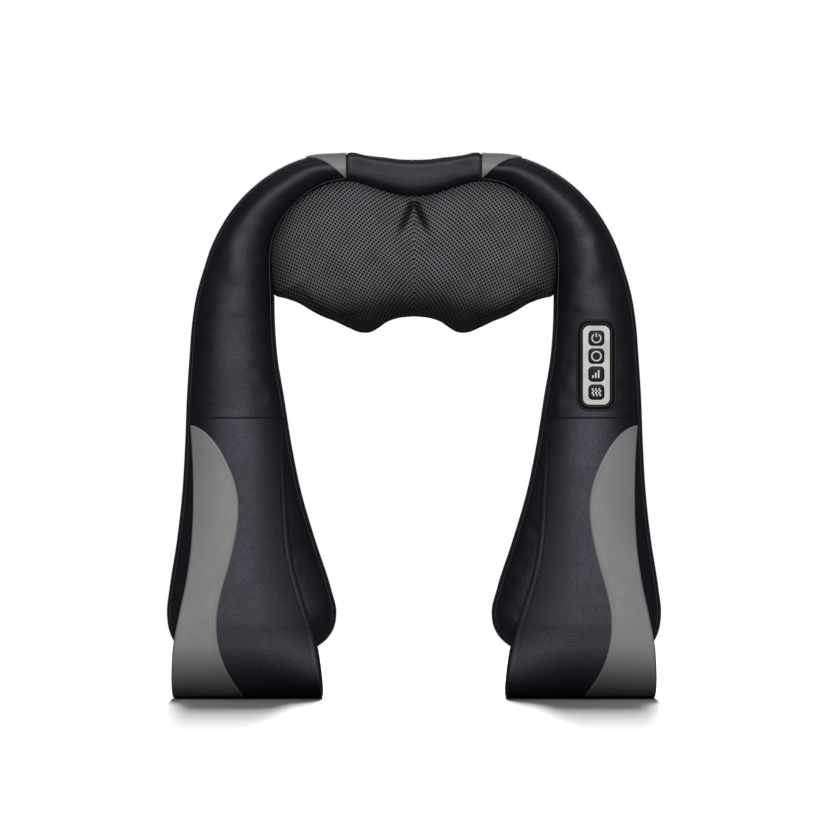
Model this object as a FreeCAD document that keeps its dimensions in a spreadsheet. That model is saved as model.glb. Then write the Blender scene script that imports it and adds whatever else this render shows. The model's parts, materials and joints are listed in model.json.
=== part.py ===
"""Shiatsu neck massager, built as the assembly that it is.

A horseshoe of padded leather hangs round the neck. Its crown holds a plastic gearbox: one
motor stands on end between two big nylon wheels, and its worm turns both of them, so the two
massage heads knead in opposite directions under a stretched mesh cover. Each arm of the
horseshoe is a flat foam paddle that bends forward over a shoulder, with a broad hand strap
that loops from the arm's front, under the paddle and up its back. The right arm holds the
control panel and, behind it, the power inlet.

Frame: millimetres, +Z up, the heads face -Y, left is -X. The massager stands on the flat
undersides of its two straps. The origin is on that plane, in the middle of the width and depth.
"""
import FreeCAD, Part
import Sketcher
import math
import os
import re

V = FreeCAD.Vector

# ---------------------------------------------------------------------------
# Driving dimensions
# ---------------------------------------------------------------------------
SIZES = [
    # overall layout
    ("overall_depth", 92.0, "mesh front to rear cover, and across the straps"),
    ("strap_length", 238.0, "floor to the seam that the strap hangs from"),
    ("upper_arm_length", 92.0, "seam to the bend of the arm"),
    ("shoulder_rise", 44.0, "bend of the arm to the axes of the heads"),
    # worm drive
    ("gear_module", 1.25, "module of the worm drive"),
    ("wheel_teeth", 76.0, "teeth on each wheel"),
    ("wheel_face", 8.0, "face width of each wheel"),
    ("worm_pitch_radius", 6.5, "pitch radius of the worm"),
    ("worm_length", 25.0, "threaded length of the worm"),
    ("gear_backlash", 0.3, "tooth thickness left off each side of the mesh"),
    ("gear_room", 1.5, "wheel tips to the housing"),
    # motor
    ("motor_radius", 12.0, "motor can"),
    ("motor_can_length", 31.0, "motor can, without its end cap"),
    ("motor_wall", 1.2, "wall of the motor can"),
    ("motor_rise", 30.0, "head axes to the motor's face"),
    ("motor_cap_length", 3.0, "end cap of the motor"),
    ("motor_boss_radius", 5.0, "boss on the motor's face"),
    ("motor_boss_height", 2.0, "boss on the motor's face"),
    ("motor_boss_room", 0.3, "boss to its hole in the bracket"),
    ("bracket_thickness", 2.5, "bracket under the motor"),
    ("armature_radius", 7.8, "armature"),
    ("magnet_thickness", 2.2, "field magnets"),
    ("motor_shaft_radius", 1.6, "motor shaft"),
    ("running_gap", 0.05, "radial clearance of a shaft in its bush"),
    # output shafts and bushes
    ("output_radius", 5.0, "output shafts"),
    ("bush_wall", 2.0, "wall of each bush"),
    ("bush_length", 6.0, "length of each bush"),
    ("bush_boss_wall", 3.0, "housing's boss round each bush"),
    ("hub_radius", 11.0, "hub of each wheel"),
    ("wheel_web", 2.5, "web between each wheel's hub and rim"),
    # housing
    ("housing_wall", 2.3, "wall of both housing shells"),
    ("housing_depth", 32.0, "inside depth of the housing"),
    ("bay_wall", 2.3, "wall round the motor bay"),
    ("motor_room", 1.0, "motor to the bay"),
    ("lug_radius", 4.0, "screw lugs of the housing"),
    ("screw_radius", 1.5, "housing screws"),
    ("screw_head_radius", 2.7, "heads of the housing screws"),
    ("screw_head_height", 1.8, "heads of the housing screws"),
    # heads
    ("head_gap", 3.0, "front housing to the head plates"),
    ("head_plate_thickness", 4.0, "head plates"),
    ("head_plate_radius", 43.0, "head plates"),
    ("node_circle", 31.0, "head axis to each node's axis"),
    ("large_node_radius", 17.0, "large nodes"),
    ("large_node_height", 28.0, "large nodes"),
    ("small_node_radius", 13.0, "small nodes"),
    ("small_node_height", 22.0, "small nodes"),
    ("lamp_window_radius", 5.0, "holes in the head plates that let the warmth through"),
    # warming lamps
    ("lamp_board_outer", 34.0, "ring board behind each head"),
    ("lamp_board_inner", 12.0, "ring board behind each head"),
    ("lamp_board_thickness", 1.2, "ring board behind each head"),
    ("lamp_circle", 26.0, "head axis to each lamp"),
    ("lamp_radius", 2.5, "warming lamps"),
    ("lamp_height", 1.2, "warming lamps"),
    # soft covers of the crown
    ("node_room", 3.0, "large node tips to the mesh"),
    ("mesh_thickness", 3.0, "mesh cover with its lining"),
    ("lobe_radius", 61.0, "outside of the cover round each head"),
    ("lobe_round", 24.0, "rounding of the cover's front and rear rims"),
    ("leather_thickness", 1.2, "leather"),
    ("cover_seam", 12.0, "depth position of the seam from mesh to rear cover"),
    ("soft_gap", 0.4, "gap between neighbouring soft pieces"),
    ("bridge_drop", 50.0, "head axes to the cover's underside between the heads"),
    ("bridge_rise", 51.0, "head axes to the cover's top between the heads"),
    # horseshoe
    ("arm_half_depth", 29.0, "half the thickness of the arms"),
    ("arm_corner", 20.0, "rounding of the arms' long edges"),
    ("crown_half_width", 57.5, "half the width of the top pad"),
    ("root_width", 25.0, "height of the horseshoe beside the top pad"),
    ("crown_dip", 4.8, "how far the top edge dips in the middle"),
    ("bend_width", 69.0, "width of the arm at its bend"),
    ("seam_width", 85.5, "width of the arm at the strap's seam"),
    ("arm_toe_in", 10.0, "how far the inner edge leans in from bend to seam"),
    ("paddle_width", 144.0, "greatest width of the paddle"),
    ("paddle_toe_in", 52.0, "how far the inner edge leans in from bend to paddle"),
    ("paddle_rise", 34.0, "paddle's end to its widest place"),
    ("hand_gap", 38.0, "floor to the paddle's end"),
    # bend of the arms
    ("bend_forward", 45.0, "degrees that an arm bends towards the chest"),
    ("bend_back", 15.0, "degrees that an arm bends the other way"),
    ("bend_margin", 3.0, "degrees left clear past each limit"),
    ("knuckle_radius", 25.0, "rounded end of the arm's foam at the bend"),
    # straps
    ("strap_thickness", 4.0, "hand straps"),
    ("strap_corner", 24.0, "outside bend of the strap where it meets the floor"),
    ("strap_foot_width", 128.0, "strap where it meets the floor"),
    ("strap_edge_inset", 3.0, "strap's edges inside the arm's edges at the seam"),
    # control panel
    ("panel_width", 22.6, "metal-finish plate"),
    ("panel_height", 66.7, "metal-finish plate"),
    ("panel_corner", 5.4, "corners of the plate"),
    ("panel_thickness", 1.6, "plate"),
    ("frame_border", 3.6, "soft frame round the plate"),
    ("frame_depth", 4.0, "soft frame"),
    ("frame_proud", 1.6, "frame above the leather"),
    ("plate_sunk", 0.6, "plate below the top of its frame"),
    ("key_width", 13.2, "keys"),
    ("key_height", 12.6, "keys"),
    ("key_corner", 3.4, "corners of the keys"),
    ("key_pitch", 15.2, "from key to key"),
    ("key_gap", 0.25, "key to the edge of its window"),
    ("key_proud", 0.9, "keys above the plate"),
    ("key_travel", 0.6, "travel of a key"),
    ("key_flange", 0.8, "rim that keeps a key behind the plate"),
    ("tray_depth", 14.0, "control tray behind the frame"),
    ("tray_wall", 1.6, "wall of the control tray"),
    ("board_thickness", 1.6, "circuit boards"),
    ("dome_radius", 3.0, "switch domes under the keys"),
    ("dome_height", 0.8, "switch domes under the keys"),
    ("dome_gap", 0.2, "dome to the key at the end of its travel"),
    # power inlet
    ("inlet_drop", 14.0, "panel's middle down to the inlet's axis"),
    ("inlet_radius", 6.0, "body of the power inlet"),
    ("inlet_length", 16.0, "body of the power inlet"),
    ("inlet_flange_radius", 8.0, "flange of the power inlet"),
    ("inlet_flange", 1.6, "flange of the power inlet"),
    ("inlet_bore_radius", 2.9, "takes a 5.5 mm barrel plug"),
    ("inlet_bore_depth", 10.0, "depth of the socket"),
    ("inlet_pin_radius", 1.05, "centre contact"),
    ("inlet_pin_length", 9.0, "centre contact"),
    ("inlet_neck_radius", 0.7, "root of the centre contact"),
    ("inlet_neck_rise", 0.3, "root of the centre contact above the socket's floor"),
    ("inlet_pin_chamfer", 0.3, "tip of the centre contact"),
    # leads
    ("lead_radius", 2.0, "leads inside the foam"),
    ("lead_room", 0.5, "lead to its channel"),
    ("lead_bend", 14.0, "radius of the lead's turns"),
]

doc = FreeCAD.newDocument("NeckMassager")
sheet = doc.addObject("Spreadsheet::Sheet", "Sizes")
for row, (alias, value, note) in enumerate(SIZES, start=1):
    sheet.set(f"A{row}", note)
    sheet.set(f"B{row}", str(value))
    sheet.setAlias(f"B{row}", alias)
doc.recompute()

ALIAS = re.compile(r"\b(" + "|".join(alias for alias, _, _ in SIZES) + r")\b")

# Places that follow from the driving dimensions, as expressions of the sheet's cells
WHEEL_RADIUS = "(gear_module * wheel_teeth / 2)"
WHEEL_TIP = f"({WHEEL_RADIUS} + gear_module)"
HEAD_X = f"({WHEEL_RADIUS} + worm_pitch_radius)"
BEND_Z = "(strap_length + upper_arm_length)"
HEAD_Z = f"({BEND_Z} + shoulder_rise)"
NODE_TIP_Y = "(-overall_depth / 2 + mesh_thickness + node_room)"
PLATE_FRONT_Y = f"({NODE_TIP_Y} + large_node_height)"
PLATE_REAR_Y = f"({PLATE_FRONT_Y} + head_plate_thickness)"
HOUSING_FRONT_Y = f"({PLATE_REAR_Y} + head_gap)"
CAVITY_FRONT_Y = f"({HOUSING_FRONT_Y} + housing_wall)"
CAVITY_REAR_Y = f"({CAVITY_FRONT_Y} + housing_depth)"
HOUSING_REAR_Y = f"({CAVITY_REAR_Y} + housing_wall)"
GEAR_Y = f"({CAVITY_FRONT_Y} + motor_room + motor_radius)"
BAY_REAR_Y = f"({GEAR_Y} + motor_radius + motor_room + bay_wall)"
HOUSING_RADIUS = f"({WHEEL_TIP} + gear_room + housing_wall)"
CAVITY_RADIUS = f"({WHEEL_TIP} + gear_room)"
MOTOR_TOP = "(motor_rise + motor_can_length + motor_cap_length)"
BAY_HALF = "(motor_radius + motor_room + bay_wall)"
BAY_TOP = f"({MOTOR_TOP} + motor_room + bay_wall)"
ARM_INNER_X = f"({HEAD_X} + lobe_radius + 3)"
PANEL_Z = f"({BEND_Z} - 48)"
LEAD_TURN_Z = f"({HEAD_Z} - 4)"


def cells(text):
    """The expression with every alias written as a cell of the sheet."""
    return ALIAS.sub(r"Sizes.\1", str(text))


def num(text):
    """The value of an expression, as a number."""
    return float(sheet.evalExpression(cells(text)))


def bind(thing, prop, text):
    """Ties a property of a document object to the sheet."""
    thing.setExpression(prop, cells(text))


def place(thing, x="0", y="0", z="0"):
    """Puts a document object at a place that the sheet gives."""
    for axis, text in zip("xyz", (x, y, z)):
        bind(thing, f"Placement.Base.{axis}", text)
    return thing


# ---------------------------------------------------------------------------
# PartDesign helpers
# ---------------------------------------------------------------------------
def new_body(label):
    body = doc.addObject("PartDesign::Body", label)
    body.Label = label
    return body


def new_sketch(body, role, shift="0"):
    """A sketch on one of the body's own origin planes, moved along that plane's normal."""
    sketch = body.newObject("Sketcher::SketchObject", "Sketch")
    plane = next(f for f in body.Origin.OriginFeatures if f.Role == role)
    sketch.AttachmentSupport = [(plane, "")]
    sketch.MapMode = "FlatFace"
    bind(sketch, "AttachmentOffset.Base.z", shift)
    return sketch


def hold(sketch, kind, geometry, point, text):
    """Fixes one coordinate of a sketch point, measured from the sketch's origin."""
    index = sketch.addConstraint(Sketcher.Constraint(kind, -1, 1, geometry, point, num(text)))
    bind(sketch, f"Constraints[{index}]", text)


def draw_circle(sketch, x, y, radius):
    shape = Part.Circle(V(num(x), num(y), 0), V(0, 0, 1), num(radius))
    geometry = sketch.addGeometry(shape, False)
    hold(sketch, "DistanceX", geometry, 3, x)
    hold(sketch, "DistanceY", geometry, 3, y)
    index = sketch.addConstraint(Sketcher.Constraint("Radius", geometry, num(radius)))
    bind(sketch, f"Constraints[{index}]", radius)


def draw_outline(sketch, corners):
    """A closed polygon with every corner held by the sheet."""
    points = [V(num(x), num(y), 0) for x, y in corners]
    first = sketch.GeometryCount
    for start, end in zip(points, points[1:] + points[:1]):
        sketch.addGeometry(Part.LineSegment(start, end), False)
    for i, (x, y) in enumerate(corners):
        after = first + (i + 1) % len(corners)
        sketch.addConstraint(Sketcher.Constraint("Coincident", first + i, 2, after, 1))
        hold(sketch, "DistanceX", first + i, 1, x)
        hold(sketch, "DistanceY", first + i, 1, y)


def draw_box(sketch, x0, y0, x1, y1):
    draw_outline(sketch, [(x0, y0), (x1, y0), (x1, y1), (x0, y1)])


def slab(body, front, rear, draw):
    """Adds material between two depths. The XZ plane's normal points to -Y."""
    sketch = new_sketch(body, "XZ_Plane", f"-({rear})")
    draw(sketch)
    feature = body.newObject("PartDesign::Pad", "Pad")
    feature.Profile = sketch
    bind(feature, "Length", f"({rear}) - ({front})")
    return feature


def carve(body, front, rear, draw):
    """Takes material away between two depths."""
    doc.recompute()
    before = body.Shape.Volume
    sketch = new_sketch(body, "XZ_Plane", f"-({front})")
    draw(sketch)
    feature = body.newObject("PartDesign::Pocket", "Pocket")
    feature.Profile = sketch
    bind(feature, "Length", f"({rear}) - ({front})")
    doc.recompute()
    if not body.Shape.Volume < before - 0.01:
        raise RuntimeError(f"{body.Label}: a pocket cut nothing")
    return feature


def turned(body, role, corners):
    """A turned solid: the outline goes round the sketch's vertical axis."""
    sketch = new_sketch(body, role)
    draw_outline(sketch, corners)
    feature = body.newObject("PartDesign::Revolution", "Revolution")
    feature.Profile = sketch
    feature.ReferenceAxis = (sketch, ["V_Axis"])
    feature.Angle = 360
    return feature


def round_edges(body, radius, chosen):
    """Rounds the edges of the body's tip that the test picks."""
    doc.recompute()
    tip = body.Tip
    names = [f"Edge{i}" for i, e in enumerate(tip.Shape.Edges, start=1) if chosen(e)]
    feature = body.newObject("PartDesign::Fillet", "Fillet")
    feature.Base = (tip, names)
    bind(feature, "Radius", radius)
    return feature


def runs_along(axis):
    """A test for straight edges that run along an axis."""

    def test(edge):
        if not isinstance(edge.Curve, (Part.Line, Part.LineSegment)):
            return False
        way = (edge.Vertexes[-1].Point - edge.Vertexes[0].Point).normalize()
        return abs(abs(way.dot(axis)) - 1) < 1e-6

    return test


# ---------------------------------------------------------------------------
# Motor, worm and the parts that hold them
# ---------------------------------------------------------------------------
def make_motor():
    """The motor stands on end above the worm, with its axis midway between the heads."""
    axis = dict(y=GEAR_Y, z=f"{HEAD_Z} + motor_rise")
    can = new_body("motor_can")
    hole = "motor_shaft_radius + running_gap"
    turned(can, "XZ_Plane", [
        (hole, "-motor_boss_height"), ("motor_boss_radius", "-motor_boss_height"),
        ("motor_boss_radius", "0"), ("motor_radius", "0"),
        ("motor_radius", "motor_can_length"),
        ("motor_radius - motor_wall", "motor_can_length"),
        ("motor_radius - motor_wall", "motor_wall"), (hole, "motor_wall"),
    ])
    place(can, **axis)

    cap = new_body("motor_end_cap")
    turned(cap, "XZ_Plane", [
        ("0", "motor_can_length"), ("motor_radius", "motor_can_length"),
        ("motor_radius", "motor_can_length + motor_cap_length - 1.5"),
        ("motor_radius - 1.5", "motor_can_length + motor_cap_length"),
        ("0", "motor_can_length + motor_cap_length"),
    ])
    place(cap, **axis)

    magnets = new_body("motor_magnets")
    slot = "motor_radius - motor_wall - magnet_thickness"
    turned(magnets, "XZ_Plane", [
        (slot, "4"), ("motor_radius - motor_wall", "4"),
        ("motor_radius - motor_wall", "motor_can_length - 4"), (slot, "motor_can_length - 4"),
    ])
    carve(magnets, "-motor_radius", "motor_radius", lambda s: draw_box(
        s, "-3", "3", "3", "motor_can_length - 3"))
    place(magnets, **axis)

    armature = new_body("motor_armature")
    turned(armature, "XZ_Plane", [
        ("motor_shaft_radius", "5"), ("armature_radius", "5"),
        ("armature_radius", "motor_can_length - 11"), ("4", "motor_can_length - 11"),
        ("4", "motor_can_length - 4"), ("motor_shaft_radius", "motor_can_length - 4"),
    ])
    place(armature, **axis)

    shaft = new_body("motor_shaft")
    foot = "-(motor_rise + worm_length / 2 + 10)"
    turned(shaft, "XZ_Plane", [
        ("0", foot), ("motor_shaft_radius", foot),
        ("motor_shaft_radius", "motor_can_length - 2"), ("0", "motor_can_length - 2"),
    ])
    place(shaft, **axis)


def make_worm():
    """A single-start right-hand thread, with a thread's middle on the +X side at head height."""
    body = new_body("worm")
    pitch = "(pi * gear_module)"
    root = "(worm_pitch_radius - 1.2 * gear_module)"
    turned(body, "XZ_Plane", [
        ("motor_shaft_radius", "-worm_length / 2"), (root, "-worm_length / 2"),
        (root, "worm_length / 2"), ("motor_shaft_radius", "worm_length / 2"),
    ])
    sketch = new_sketch(body, "XZ_Plane")
    turns = "floor((worm_length - 4) / (pi * gear_module * 2))"
    start = f"(-{turns} * {pitch})"
    half = f"({pitch} / 4 - gear_backlash / 2)"
    flank = "tan(20 deg)"
    foot_half = f"({half} + (1.2 * gear_module + 0.3) * {flank})"
    tip_half = f"({half} - gear_module * {flank})"
    buried = f"({root} - 0.3)"
    tip = "(worm_pitch_radius + gear_module)"
    draw_outline(sketch, [
        (buried, f"{start} - {foot_half}"), (tip, f"{start} - {tip_half}"),
        (tip, f"{start} + {tip_half}"), (buried, f"{start} + {foot_half}"),
    ])
    doc.recompute()
    thread = body.newObject("PartDesign::AdditiveHelix", "Thread")
    thread.Profile = sketch
    thread.ReferenceAxis = (sketch, ["V_Axis"])
    thread.Mode = 0
    bind(thread, "Pitch", pitch)
    bind(thread, "Height", f"2 * {turns} * {pitch}")
    thread.LeftHanded = False
    place(body, y=GEAR_Y, z=HEAD_Z)


def make_mechanism_supports():
    """The plate under the motor and the block that holds the worm's lower bush."""
    plate_top = "motor_rise - 0.1"
    bracket = new_body("motor_bracket")
    slab(bracket, f"{GEAR_Y} - motor_radius + 2", CAVITY_REAR_Y, lambda s: draw_box(
        s, "-(motor_radius - 1)", f"{plate_top} - bracket_thickness", "motor_radius - 1", plate_top))
    slab(bracket, f"{CAVITY_REAR_Y} - bracket_thickness", CAVITY_REAR_Y, lambda s: draw_box(
        s, "-(motor_radius - 1)", "motor_rise - 12", "motor_radius - 1", plate_top))
    sketch = new_sketch(bracket, "XY_Plane", "motor_rise")
    draw_circle(sketch, "0", GEAR_Y, "motor_boss_radius + motor_boss_room")
    hole = bracket.newObject("PartDesign::Pocket", "BossHole")
    hole.Profile = sketch
    bind(hole, "Length", "4")
    place(bracket, z=HEAD_Z)

    bush_outer = "(motor_shaft_radius + running_gap + bush_wall)"
    low = "-(worm_length / 2 + 9)"
    high = "-(worm_length / 2 + 3)"
    block = new_body("bearing_block")
    slab(block, f"{GEAR_Y} - 6", CAVITY_REAR_Y, lambda s: draw_box(s, "-6", low, "6", high))
    sketch = new_sketch(block, "XY_Plane", high)
    draw_circle(sketch, "0", GEAR_Y, bush_outer)
    hole = block.newObject("PartDesign::Pocket", "BushSeat")
    hole.Profile = sketch
    bind(hole, "Length", f"{high} - ({low})")
    place(block, z=HEAD_Z)

    bush = new_body("worm_bush")
    turned(bush, "XZ_Plane", [
        ("motor_shaft_radius + running_gap", low), (bush_outer, low),
        (bush_outer, high), ("motor_shaft_radius + running_gap", high),
    ])
    place(bush, y=GEAR_Y, z=HEAD_Z)


# ---------------------------------------------------------------------------
# Wheels, shafts and heads
# ---------------------------------------------------------------------------
def toothed_section(depth, turn):
    """The wheel's outline at one depth: straight-flanked teeth, turned by an angle."""
    module = num("gear_module")
    teeth = round(num("wheel_teeth"))
    pitch_radius = num(WHEEL_RADIUS)
    half = math.pi * module / 4 - num("gear_backlash") / 2
    flank = math.tan(math.radians(20))
    root = pitch_radius - 1.25 * module
    tip = pitch_radius + module
    root_half = (half + 1.25 * module * flank) / pitch_radius
    tip_half = (half - module * flank) / pitch_radius
    points = []
    for k in range(teeth):
        middle = 2 * math.pi * k / teeth + turn
        corners = ((root, -root_half), (tip, -tip_half), (tip, tip_half), (root, root_half))
        for radius, side in corners:
            angle = middle + side
            points.append(V(radius * math.cos(angle), depth, -radius * math.sin(angle)))
    return Part.makePolygon(points + points[:1])


def make_wheel(label, side):
    """A nylon worm wheel: helical teeth at the worm's lead angle, a thin web and a hub."""
    face = num("wheel_face")
    radius = num(WHEEL_RADIUS)
    lead = math.atan(num("gear_module") / (2 * num("worm_pitch_radius")))
    twist = face * math.tan(lead) / radius
    # the left wheel has a tooth at the worm, and the right wheel a gap
    phase = 0.0 if side < 0 else math.pi / round(num("wheel_teeth"))
    sections = [toothed_section(-face / 2, phase - twist / 2),
                toothed_section(face / 2, phase + twist / 2)]
    wheel = Part.makeLoft(sections, True, True)
    rim = radius - 6 * num("gear_module")
    hub = num("hub_radius")
    web = num("wheel_web")
    for front in (-face / 2 - 1, web / 2):
        recess = Part.makeCylinder(rim, face / 2 - web / 2 + 1, V(0, front, 0), V(0, 1, 0))
        keep = Part.makeCylinder(hub, face, V(0, -face / 2, 0), V(0, 1, 0))
        wheel = wheel.cut(recess.cut(keep))
    hole_circle = (rim + hub) / 2
    hole_radius = (rim - hub) / 4
    for k in range(6):
        angle = math.radians(60 * k)
        at = V(hole_circle * math.cos(angle), -face, hole_circle * math.sin(angle))
        wheel = wheel.cut(Part.makeCylinder(hole_radius, 2 * face, at, V(0, 1, 0)))
    bore = Part.makeCylinder(num("output_radius"), 2 * face, V(0, -face, 0), V(0, 1, 0))
    part = doc.addObject("Part::Feature", label)
    part.Label = label
    part.Shape = wheel.cut(bore)
    part.Placement = FreeCAD.Placement(
        V(side * num(HEAD_X), num(GEAR_Y), num(HEAD_Z)), FreeCAD.Rotation())
    return part


def make_node_group(label, side, radius, height, angles):
    """Two domed caps on opposite sides of a head plate, each a cylinder with a round nose."""
    domes = []
    for number, angle in enumerate(angles, start=1):
        x = f"{side} * {HEAD_X} + node_circle * {round(math.cos(math.radians(angle)))}"
        z = f"{HEAD_Z} + node_circle * {round(math.sin(math.radians(angle)))}"
        nose_y = f"{PLATE_FRONT_Y} - {height} + {radius}"
        skirt = doc.addObject("Part::Cylinder", f"{label}_skirt_{number}")
        bind(skirt, "Radius", radius)
        bind(skirt, "Height", f"{height} - {radius}")
        skirt.Placement.Rotation = FreeCAD.Rotation(V(1, 0, 0), -90)
        place(skirt, x, nose_y, z)
        nose = doc.addObject("Part::Sphere", f"{label}_nose_{number}")
        bind(nose, "Radius", radius)
        nose.Placement.Rotation = FreeCAD.Rotation(V(1, 0, 0), 90)
        nose.Angle1 = 0
        place(nose, x, nose_y, z)
        dome = doc.addObject("Part::Fuse", f"{label}_dome_{number}")
        dome.Base, dome.Tool = skirt, nose
        domes.append(dome)
    group = doc.addObject("Part::Compound", label)
    group.Label = label
    group.Links = domes
    return group


def make_head(prefix, side):
    """One massage head: wheel, output shaft, plate and four nodes, turning as one."""
    make_wheel(f"{prefix}_worm_wheel", side)
    where = dict(x=f"{side} * {HEAD_X}", z=HEAD_Z)

    shaft = new_body(f"{prefix}_output_shaft")
    turned(shaft, "XY_Plane", [
        ("0", f"{PLATE_FRONT_Y}"), ("output_radius", f"{PLATE_FRONT_Y}"),
        ("output_radius", f"{CAVITY_REAR_Y} - 0.5"), ("0", f"{CAVITY_REAR_Y} - 0.5"),
    ])
    place(shaft, **where)

    plate = new_body(f"{prefix}_head_plate")
    slab(plate, PLATE_FRONT_Y, PLATE_REAR_Y, lambda s: (
        draw_circle(s, "0", "0", "head_plate_radius"), draw_circle(s, "0", "0", "output_radius")))
    window = new_sketch(plate, "XZ_Plane", f"-({PLATE_FRONT_Y})")
    spoke = "(node_circle * 0.62)"
    draw_circle(window, spoke, spoke, "lamp_window_radius")
    pocket = plate.newObject("PartDesign::Pocket", "LampWindow")
    pocket.Profile = window
    bind(pocket, "Length", "head_plate_thickness")
    doc.recompute()
    ring = plate.newObject("PartDesign::PolarPattern", "LampWindows")
    ring.Originals = [pocket]
    ring.Axis = (window, ["N_Axis"])
    ring.Angle = 360
    ring.Occurrences = 4
    plate.Tip = ring
    place(plate, **where)

    # at rest the large nodes lie level on each side of the axis, with the small ones above and below
    make_node_group(f"{prefix}_large_nodes", side, "large_node_radius", "large_node_height",
                    (0, 180))
    make_node_group(f"{prefix}_small_nodes", side, "small_node_radius", "small_node_height",
                    (90, 270))


# ---------------------------------------------------------------------------
# Housing
# ---------------------------------------------------------------------------
LUGS = [
    (f"{side} * ({HEAD_X} + {HOUSING_RADIUS} * cos({angle} deg))",
     f"{HOUSING_RADIUS} * sin({angle} deg)")
    for side in (-1, 1) for angle in (40, -40)
] + [("0", "-(bridge_drop - lug_radius - 5)")]


def draw_on_heads(radius):
    """Draws one circle on each head's axis, as two separate sketch functions."""
    return [lambda s, side=side: draw_circle(s, f"{side} * {HEAD_X}", "0", radius)
            for side in (-1, 1)]


def make_rear_housing():
    """The deep shell: two round wells for the wheels, a bridge and a bay for the motor."""
    body = new_body("rear_housing")
    floor_z = "-(bridge_drop - 8)"
    for draw in draw_on_heads(HOUSING_RADIUS):
        slab(body, CAVITY_FRONT_Y, HOUSING_REAR_Y, draw)
    slab(body, CAVITY_FRONT_Y, HOUSING_REAR_Y, lambda s: draw_box(
        s, f"-{HEAD_X}", floor_z, HEAD_X, "bridge_rise - 8"))
    slab(body, CAVITY_FRONT_Y, BAY_REAR_Y, lambda s: draw_box(
        s, f"-{BAY_HALF}", "0", BAY_HALF, BAY_TOP))
    for x, z in LUGS:
        slab(body, CAVITY_FRONT_Y, f"{CAVITY_FRONT_Y} + 12",
             lambda s, x=x, z=z: draw_circle(s, x, z, "lug_radius"))
    for draw in draw_on_heads(CAVITY_RADIUS):
        carve(body, CAVITY_FRONT_Y, CAVITY_REAR_Y, draw)
    carve(body, CAVITY_FRONT_Y, CAVITY_REAR_Y, lambda s: draw_box(
        s, f"-{HEAD_X}", f"{floor_z} + housing_wall", HEAD_X, "bridge_rise - 8 - housing_wall"))
    carve(body, CAVITY_FRONT_Y, f"{BAY_REAR_Y} - bay_wall", lambda s: draw_box(
        s, f"-({BAY_HALF} - bay_wall)", "0", f"{BAY_HALF} - bay_wall", f"{BAY_TOP} - bay_wall"))
    seat = "(output_radius + running_gap + bush_wall)"
    for side in (-1, 1):
        slab(body, f"{CAVITY_REAR_Y} - bush_length", CAVITY_REAR_Y, lambda s, side=side: (
            draw_circle(s, f"{side} * {HEAD_X}", "0", f"{seat} + bush_boss_wall"),
            draw_circle(s, f"{side} * {HEAD_X}", "0", seat)))
        slab(body, f"{CAVITY_REAR_Y} - 4", CAVITY_REAR_Y, lambda s, side=side: draw_circle(
            s, f"{side} * 24", "-32", "2.5"))
    for x, z in LUGS:
        carve(body, CAVITY_FRONT_Y, f"{CAVITY_FRONT_Y} + 10",
              lambda s, x=x, z=z: draw_circle(s, x, z, "screw_radius"))
    place(body, z=HEAD_Z)


def make_front_housing():
    """The flat front shell, with a boss for each output shaft."""
    body = new_body("front_housing")
    seat = "(output_radius + running_gap + bush_wall)"
    for draw in draw_on_heads(HOUSING_RADIUS):
        slab(body, HOUSING_FRONT_Y, CAVITY_FRONT_Y, draw)
    slab(body, HOUSING_FRONT_Y, CAVITY_FRONT_Y, lambda s: draw_box(
        s, f"-{HEAD_X}", "-(bridge_drop - 8)", HEAD_X, "bridge_rise - 8"))
    slab(body, HOUSING_FRONT_Y, CAVITY_FRONT_Y, lambda s: draw_box(
        s, f"-{BAY_HALF}", "0", BAY_HALF, BAY_TOP))
    for x, z in LUGS:
        slab(body, HOUSING_FRONT_Y, CAVITY_FRONT_Y,
             lambda s, x=x, z=z: draw_circle(s, x, z, "lug_radius"))
    for side in (-1, 1):
        slab(body, CAVITY_FRONT_Y, f"{HOUSING_FRONT_Y} + bush_length",
             lambda s, side=side: draw_circle(s, f"{side} * {HEAD_X}", "0", f"{seat} + bush_boss_wall"))
        carve(body, HOUSING_FRONT_Y, f"{HOUSING_FRONT_Y} + bush_length",
              lambda s, side=side: draw_circle(s, f"{side} * {HEAD_X}", "0", seat))
    for x, z in LUGS:
        carve(body, HOUSING_FRONT_Y, CAVITY_FRONT_Y,
              lambda s, x=x, z=z: draw_circle(s, x, z, "screw_radius"))
    place(body, z=HEAD_Z)


def make_bushes():
    """Four bronze bushes, one in each boss of the housing."""
    body = new_body("output_bushes")
    bore = "(output_radius + running_gap)"
    for front in (HOUSING_FRONT_Y, f"({CAVITY_REAR_Y} - bush_length)"):
        for side in (-1, 1):
            slab(body, front, f"{front} + bush_length", lambda s, side=side: (
                draw_circle(s, f"{side} * {HEAD_X}", "0", f"{bore} + bush_wall"),
                draw_circle(s, f"{side} * {HEAD_X}", "0", bore)))
    place(body, z=HEAD_Z)


def make_housing_screws():
    """Self-tapping screws through the front shell into the rear shell's lugs."""
    body = new_body("housing_screws")
    for x, z in LUGS:
        slab(body, HOUSING_FRONT_Y, f"{CAVITY_FRONT_Y} + 9",
             lambda s, x=x, z=z: draw_circle(s, x, z, "screw_radius"))
        slab(body, f"{HOUSING_FRONT_Y} - screw_head_height", HOUSING_FRONT_Y,
             lambda s, x=x, z=z: draw_circle(s, x, z, "screw_head_radius"))
    place(body, z=HEAD_Z)


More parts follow.
